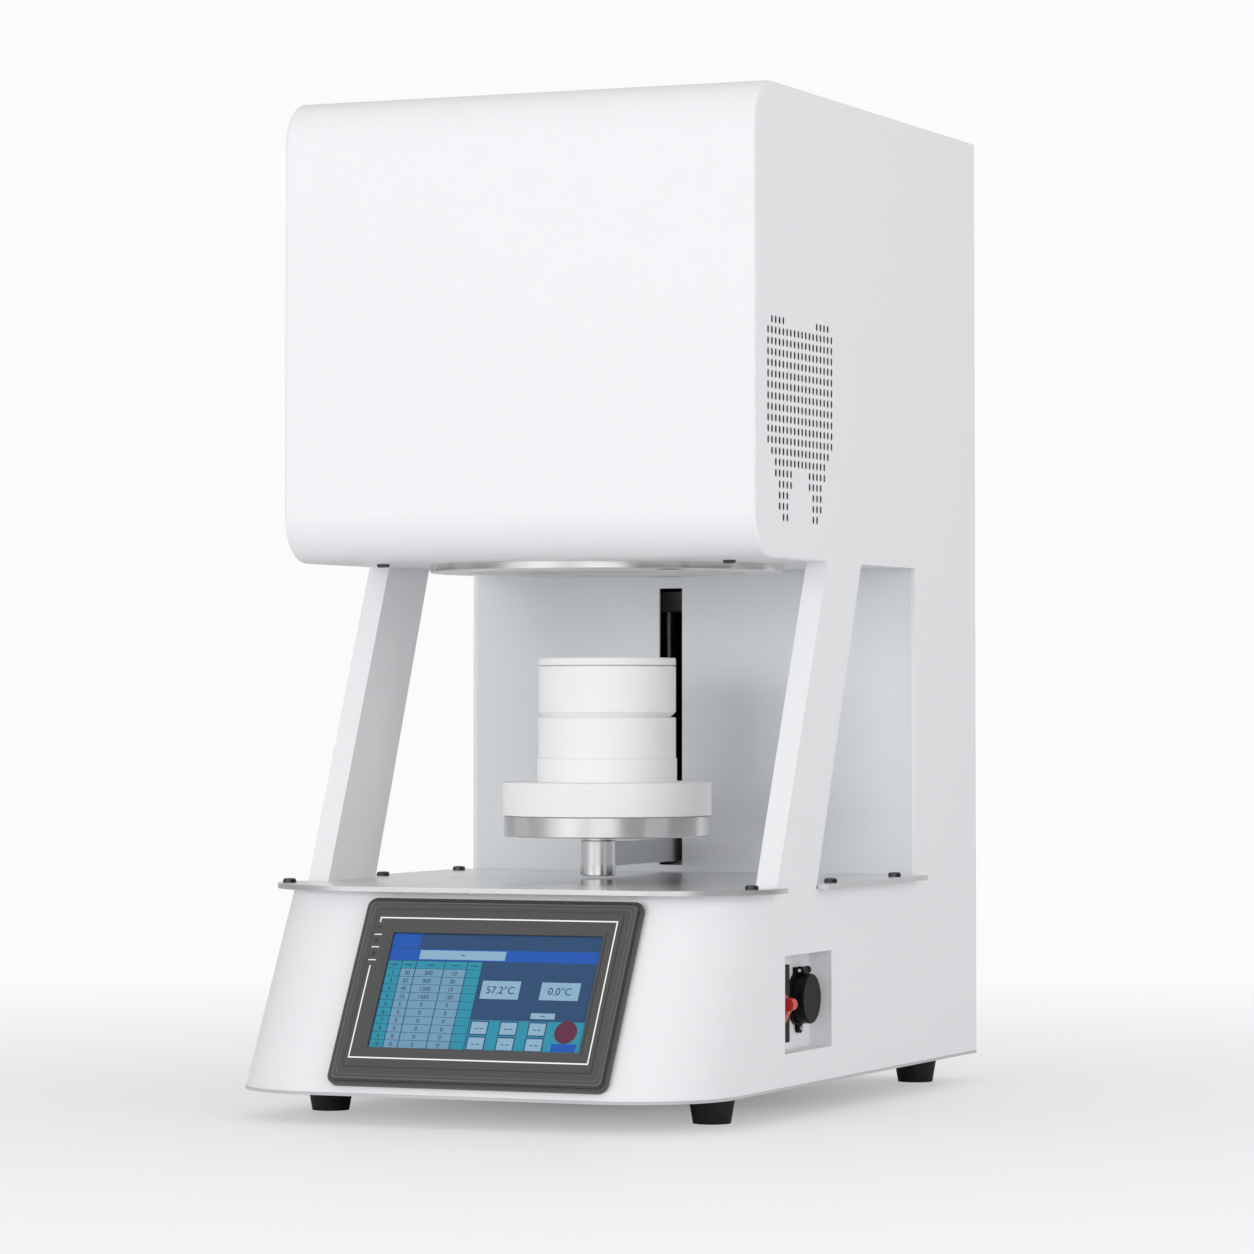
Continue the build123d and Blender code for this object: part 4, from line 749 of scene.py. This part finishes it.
# painted highlight: the ridges take a lighter grey than the bezel, so they read as the lit edge of
# the stepped rim
rim_highlight_grey = moulding("rim_highlight_grey", (0.17, 0.168, 0.168), 0.24, 1200, 0.08, 0.0001)
rim_lines = add_piece("panel_rim_highlights", shape, rim_highlight_grey, "cabinet")
print(f"inner frame: {len(inner_frame.data.polygons)} faces, "
      f"ridges: {len(rim_lines.data.polygons)}")

# %% [markdown]
# The line is a real inlay, so it gets real thickness: slim slabs with broken
# rims that stand a tenth of a millimetre proud. It stops short on the left, to
# leave room for the lamp windows and the dashes between them.

# %% Inlay the bright line, the dashes and the lamp windows
LINE_HALF = 0.55
LINE_TOP = FRAME_TOP + 0.12
WINDOW_TOP = FRAME_TOP + 0.08
LINE_LEFT, LINE_RIGHT, LINE_LOW, LINE_HIGH = -90.2, 87.0, -51.2, 53.7
BREAK_LOW, BREAK_HIGH = 17.5, 50.2
INLAY_FOOT = FRAME_TOP - 0.1
INLAY_RIM = 0.05
DASH_LEFT, DASH_RIGHT, DASH_HALF = -92.6, -86.6, 0.4
DASH_HEIGHTS = (40.9, 31.4, 21.6)
WINDOW_MIDDLE, WINDOW_HALF = LINE_LEFT + 0.4, 1.2
# height of the window's middle, half its height
WINDOWS = ((46.6, 0.9), (36.2, 1.5), (26.6, 1.5))

inlay_metal = small_metal("inlay_metal", (0.86, 0.86, 0.86), 0.22, 0.05)
lamp_window = moulding("lamp_window", (0.02, 0.02, 0.022), 0.12, 900, 0.03, 0.0001)

shape = bmesh.new()
for left, low, right, high in (
        (LINE_LEFT - LINE_HALF, LINE_HIGH - LINE_HALF, LINE_RIGHT + LINE_HALF,
         LINE_HIGH + LINE_HALF),
        (LINE_LEFT - LINE_HALF, LINE_LOW - LINE_HALF, LINE_RIGHT + LINE_HALF,
         LINE_LOW + LINE_HALF),
        (LINE_RIGHT - LINE_HALF, LINE_LOW + LINE_HALF, LINE_RIGHT + LINE_HALF,
         LINE_HIGH - LINE_HALF),
        (LINE_LEFT - LINE_HALF, LINE_LOW + LINE_HALF, LINE_LEFT + LINE_HALF, BREAK_LOW),
        (LINE_LEFT - LINE_HALF, BREAK_HIGH, LINE_LEFT + LINE_HALF, LINE_HIGH - LINE_HALF)):
    slab(shape, left, low, right, high, INLAY_FOOT, LINE_TOP, INLAY_RIM)
for height in DASH_HEIGHTS:
    slab(shape, DASH_LEFT, height - DASH_HALF, DASH_RIGHT, height + DASH_HALF,
         INLAY_FOOT, LINE_TOP, INLAY_RIM)
shape.transform(panel_place)
bright_line = add_piece("panel_bright_line", shape, inlay_metal, "cabinet")

shape = bmesh.new()
for height, half in WINDOWS:
    slab(shape, WINDOW_MIDDLE - WINDOW_HALF, height - half,
         WINDOW_MIDDLE + WINDOW_HALF, height + half, INLAY_FOOT, WINDOW_TOP, INLAY_RIM)
shape.transform(panel_place)
lamp_windows = add_piece("panel_lamp_windows", shape, lamp_window, "cabinet")
print(f"line, dashes and windows: {len(bright_line.data.polygons)} and "
      f"{len(lamp_windows.data.polygons)} faces")

# %% [markdown]
# ## The lit screen
#
# A touch screen shows flat fields of colour under glass. They could be painted
# in a shader from nested comparisons, but thin tiles laid on the glass are easy
# to read and to move, and their colours are plain materials. Each colour is one
# mesh. A tile glows only a little, because the studio is far brighter than the
# screen, and a clear coat over it gives the sheen of the glass.

# %% Helpers for lit fields
TILE_FOOT = 0.01
TILE_STEP = 0.03


def lit_field(name, colour, glow=0.10):
    """A field of the screen: its colour, a little light of its own, a glass sheen."""
    made = finish(name, colour, 0.55)
    shader = made.node_tree.nodes["Principled BSDF"]
    shader.inputs["Emission Color"].default_value = (*colour, 1)
    shader.inputs["Emission Strength"].default_value = glow
    shader.inputs["Specular IOR Level"].default_value = 0.2
    shader.inputs["Coat Weight"].default_value = 0.3
    shader.inputs["Coat Roughness"].default_value = 0.12
    tree = made.node_tree
    cells = noise(tree, object_place(tree), 240, detail=3)
    dark = tuple(0.90 * c for c in colour)
    tint(made, cells, dark, colour)
    return made


def tiles(name, material, level, boxes):
    """Thin tiles on the glass; level says which lie over which."""
    shape = bmesh.new()
    for left, low, right, high in boxes:
        slab(shape, left, low, right, high, TILE_FOOT + TILE_STEP * (level - 1),
             TILE_FOOT + TILE_STEP * level)
    shape.transform(panel_place)
    add_piece(name, shape, material, "cabinet")
    print(f"{name}: {len(boxes)} tiles")


screen_night = lit_field("screen_night", (0.016, 0.060, 0.150))
screen_blue = lit_field("screen_blue", (0.006, 0.085, 0.420))
screen_sea = lit_field("screen_sea", (0.018, 0.260, 0.370))
screen_pale = lit_field("screen_pale", (0.250, 0.420, 0.560))
screen_mist = lit_field("screen_mist", (0.150, 0.310, 0.450))
screen_maroon = lit_field("screen_maroon", (0.110, 0.016, 0.050))
screen_ink = lit_field("screen_ink", (0.012, 0.035, 0.090), 0.02)

nodes["touch_screen"].data.materials.clear()
nodes["touch_screen"].data.materials.append(screen_night)

# %% Lay the fields
ROW_TOP = 22.3
ROW_HEAD = 16.4
ROW_PITCH = 5.94
ROWS = 10
COLUMNS = (-78.2, -67.4, -56.5, -35.0, -18.0, -6.9)
GRID_GAP = 0.35
# left, low, right, high
BARS = ((-78.2, 22.9, 78.2, 31.4), (-78.2, 31.9, -57.0, 42.8))
FIELDS = ((-55.4, 23.8, 9.0, 30.6), (-3.6, -4.7, 24.9, 8.8), (40.4, -4.6, 69.1, 8.5),
          (37.2, -18.6, 54.9, -14.3))
KEY_GROUND = (-6.6, -42.8, 78.2, -20.4)
LABEL = (56.8, -42.2, 75.0, -36.4)

tiles("screen_bar", screen_blue, 1, BARS)
tiles("screen_field", screen_pale, 2, FIELDS)
tiles("screen_head_row", screen_sea, 1,
      [(a + GRID_GAP, ROW_HEAD + GRID_GAP, b - GRID_GAP, ROW_TOP)
       for a, b in zip(COLUMNS, COLUMNS[1:])])
index_cells, value_cells = [], []
for row in range(ROWS):
    high = ROW_HEAD - row * ROW_PITCH
    low = high - ROW_PITCH + GRID_GAP
    for number, (a, b) in enumerate(zip(COLUMNS, COLUMNS[1:])):
        cell = (a + GRID_GAP, low, b - GRID_GAP, high)
        (index_cells if number in (0, 4) else value_cells).append(cell)
tiles("screen_index_cells", screen_sea, 1, index_cells)
tiles("screen_value_cells", screen_mist, 1, value_cells)
tiles("screen_key_ground", screen_sea, 1, [KEY_GROUND])

KEY_COLUMNS = (-4.9, 16.8, 38.0)
KEY_ROWS = (-30.6, -42.1)
KEY_WIDTH, KEY_HEIGHT, KEY_RIM = 11.8, 8.8, 0.9
keys = [(x, y, x + KEY_WIDTH, y + KEY_HEIGHT) for x in KEY_COLUMNS for y in KEY_ROWS]
tiles("screen_key_rims", screen_night, 2,
      [(a - KEY_RIM, b - KEY_RIM, c + KEY_RIM, d + KEY_RIM) for a, b, c, d in keys])
tiles("screen_keys", screen_pale, 3, keys)
tiles("screen_label", screen_blue, 2, [LABEL])

# %% [markdown]
# The red key is round, so it is a disc of many sides. The marks on the keys and
# in the table are plain dashes and figures, as any such furnace shows. They could
# be cut into the tiles, but laid on top they stay easy to change.

# %% Add the round key, the marks and the figures
ROUND_KEY_MIDDLE, ROUND_KEY_RADIUS = (65.4, -27.9, 0.07), 8.3
MARK_THICK = 0.6
FIELD_MARKS = ((-24.6, 26.8, -21.4, 27.4), (44.4, -16.7, 47.4, -16.1))
FIGURE_LIFT, FIGURE_THICK = 0.10, 0.02
FIGURE_SIZE, READING_SIZE = 4.2, 7.6
FIGURE_LINE = ROW_PITCH / FIGURE_SIZE
FIGURE_FOOT, READING_FOOT = ROW_HEAD - ROW_PITCH + 1.6, -0.6

shape = bmesh.new()
bmesh.ops.create_circle(shape, cap_ends=True, radius=ROUND_KEY_RADIUS, segments=48,
                        matrix=Matrix.Translation(ROUND_KEY_MIDDLE))
shape.transform(panel_place)
add_piece("screen_round_key", shape, screen_maroon, "cabinet")

marks = []
for left, low, right, high in keys:
    middle, foot = (left + right) / 2, low + 3.6
    marks += [(middle - 3.0, foot, middle - 0.6, foot + MARK_THICK),
              (middle + 0.4, foot, middle + 3.0, foot + MARK_THICK)]
for left, right in zip(COLUMNS, COLUMNS[1:]):
    middle, foot = (left + right) / 2, ROW_HEAD + 2.7
    marks.append((middle - 2.6, foot, middle + 2.6, foot + MARK_THICK))
marks += FIELD_MARKS
tiles("screen_marks", screen_ink, 4, marks)


def figures(name, words, size, x, y, spacing=1.0):
    """Upright figures on the glass, the middle of their first line's foot at x, y."""
    data = bpy.data.curves.new(name, "FONT")
    data.body = words
    data.size = size
    data.align_x = "CENTER"
    data.space_line = spacing
    data.extrude = FIGURE_THICK
    data.materials.append(screen_ink)
    made = bpy.data.objects.new(name, data)
    bpy.context.scene.collection.objects.link(made)
    made.matrix_world = panel_place @ Matrix.Translation((x, y, FIGURE_LIFT))
    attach(made, "cabinet")


columns_of_figures = (
    ("screen_steps", [str(i) for i in range(1, ROWS + 1)], 0),
    ("screen_minutes", ["30", "20", "45", "10", "5", "0", "0", "0", "0", "0"], 1),
    ("screen_degrees", ["300", "900", "1200", "1450", "0", "0", "0", "0", "0", "0"], 2),
    ("screen_holds", ["10", "20", "15", "120", "0", "0", "0", "0", "0", "0"], 3),
)
for name, lines, column in columns_of_figures:
    middle = (COLUMNS[column] + COLUMNS[column + 1]) / 2
    figures(name, "\n".join(lines), FIGURE_SIZE, middle, FIGURE_FOOT, FIGURE_LINE)
figures("screen_reading", "57.2°C", READING_SIZE, 10.7, READING_FOOT)
figures("screen_target", "0.0°C", READING_SIZE, 54.8, READING_FOOT)
print("figures set in", len(columns_of_figures), "columns and two boxes")

# %% [markdown]
# ## The end


print("the furnace is dressed")
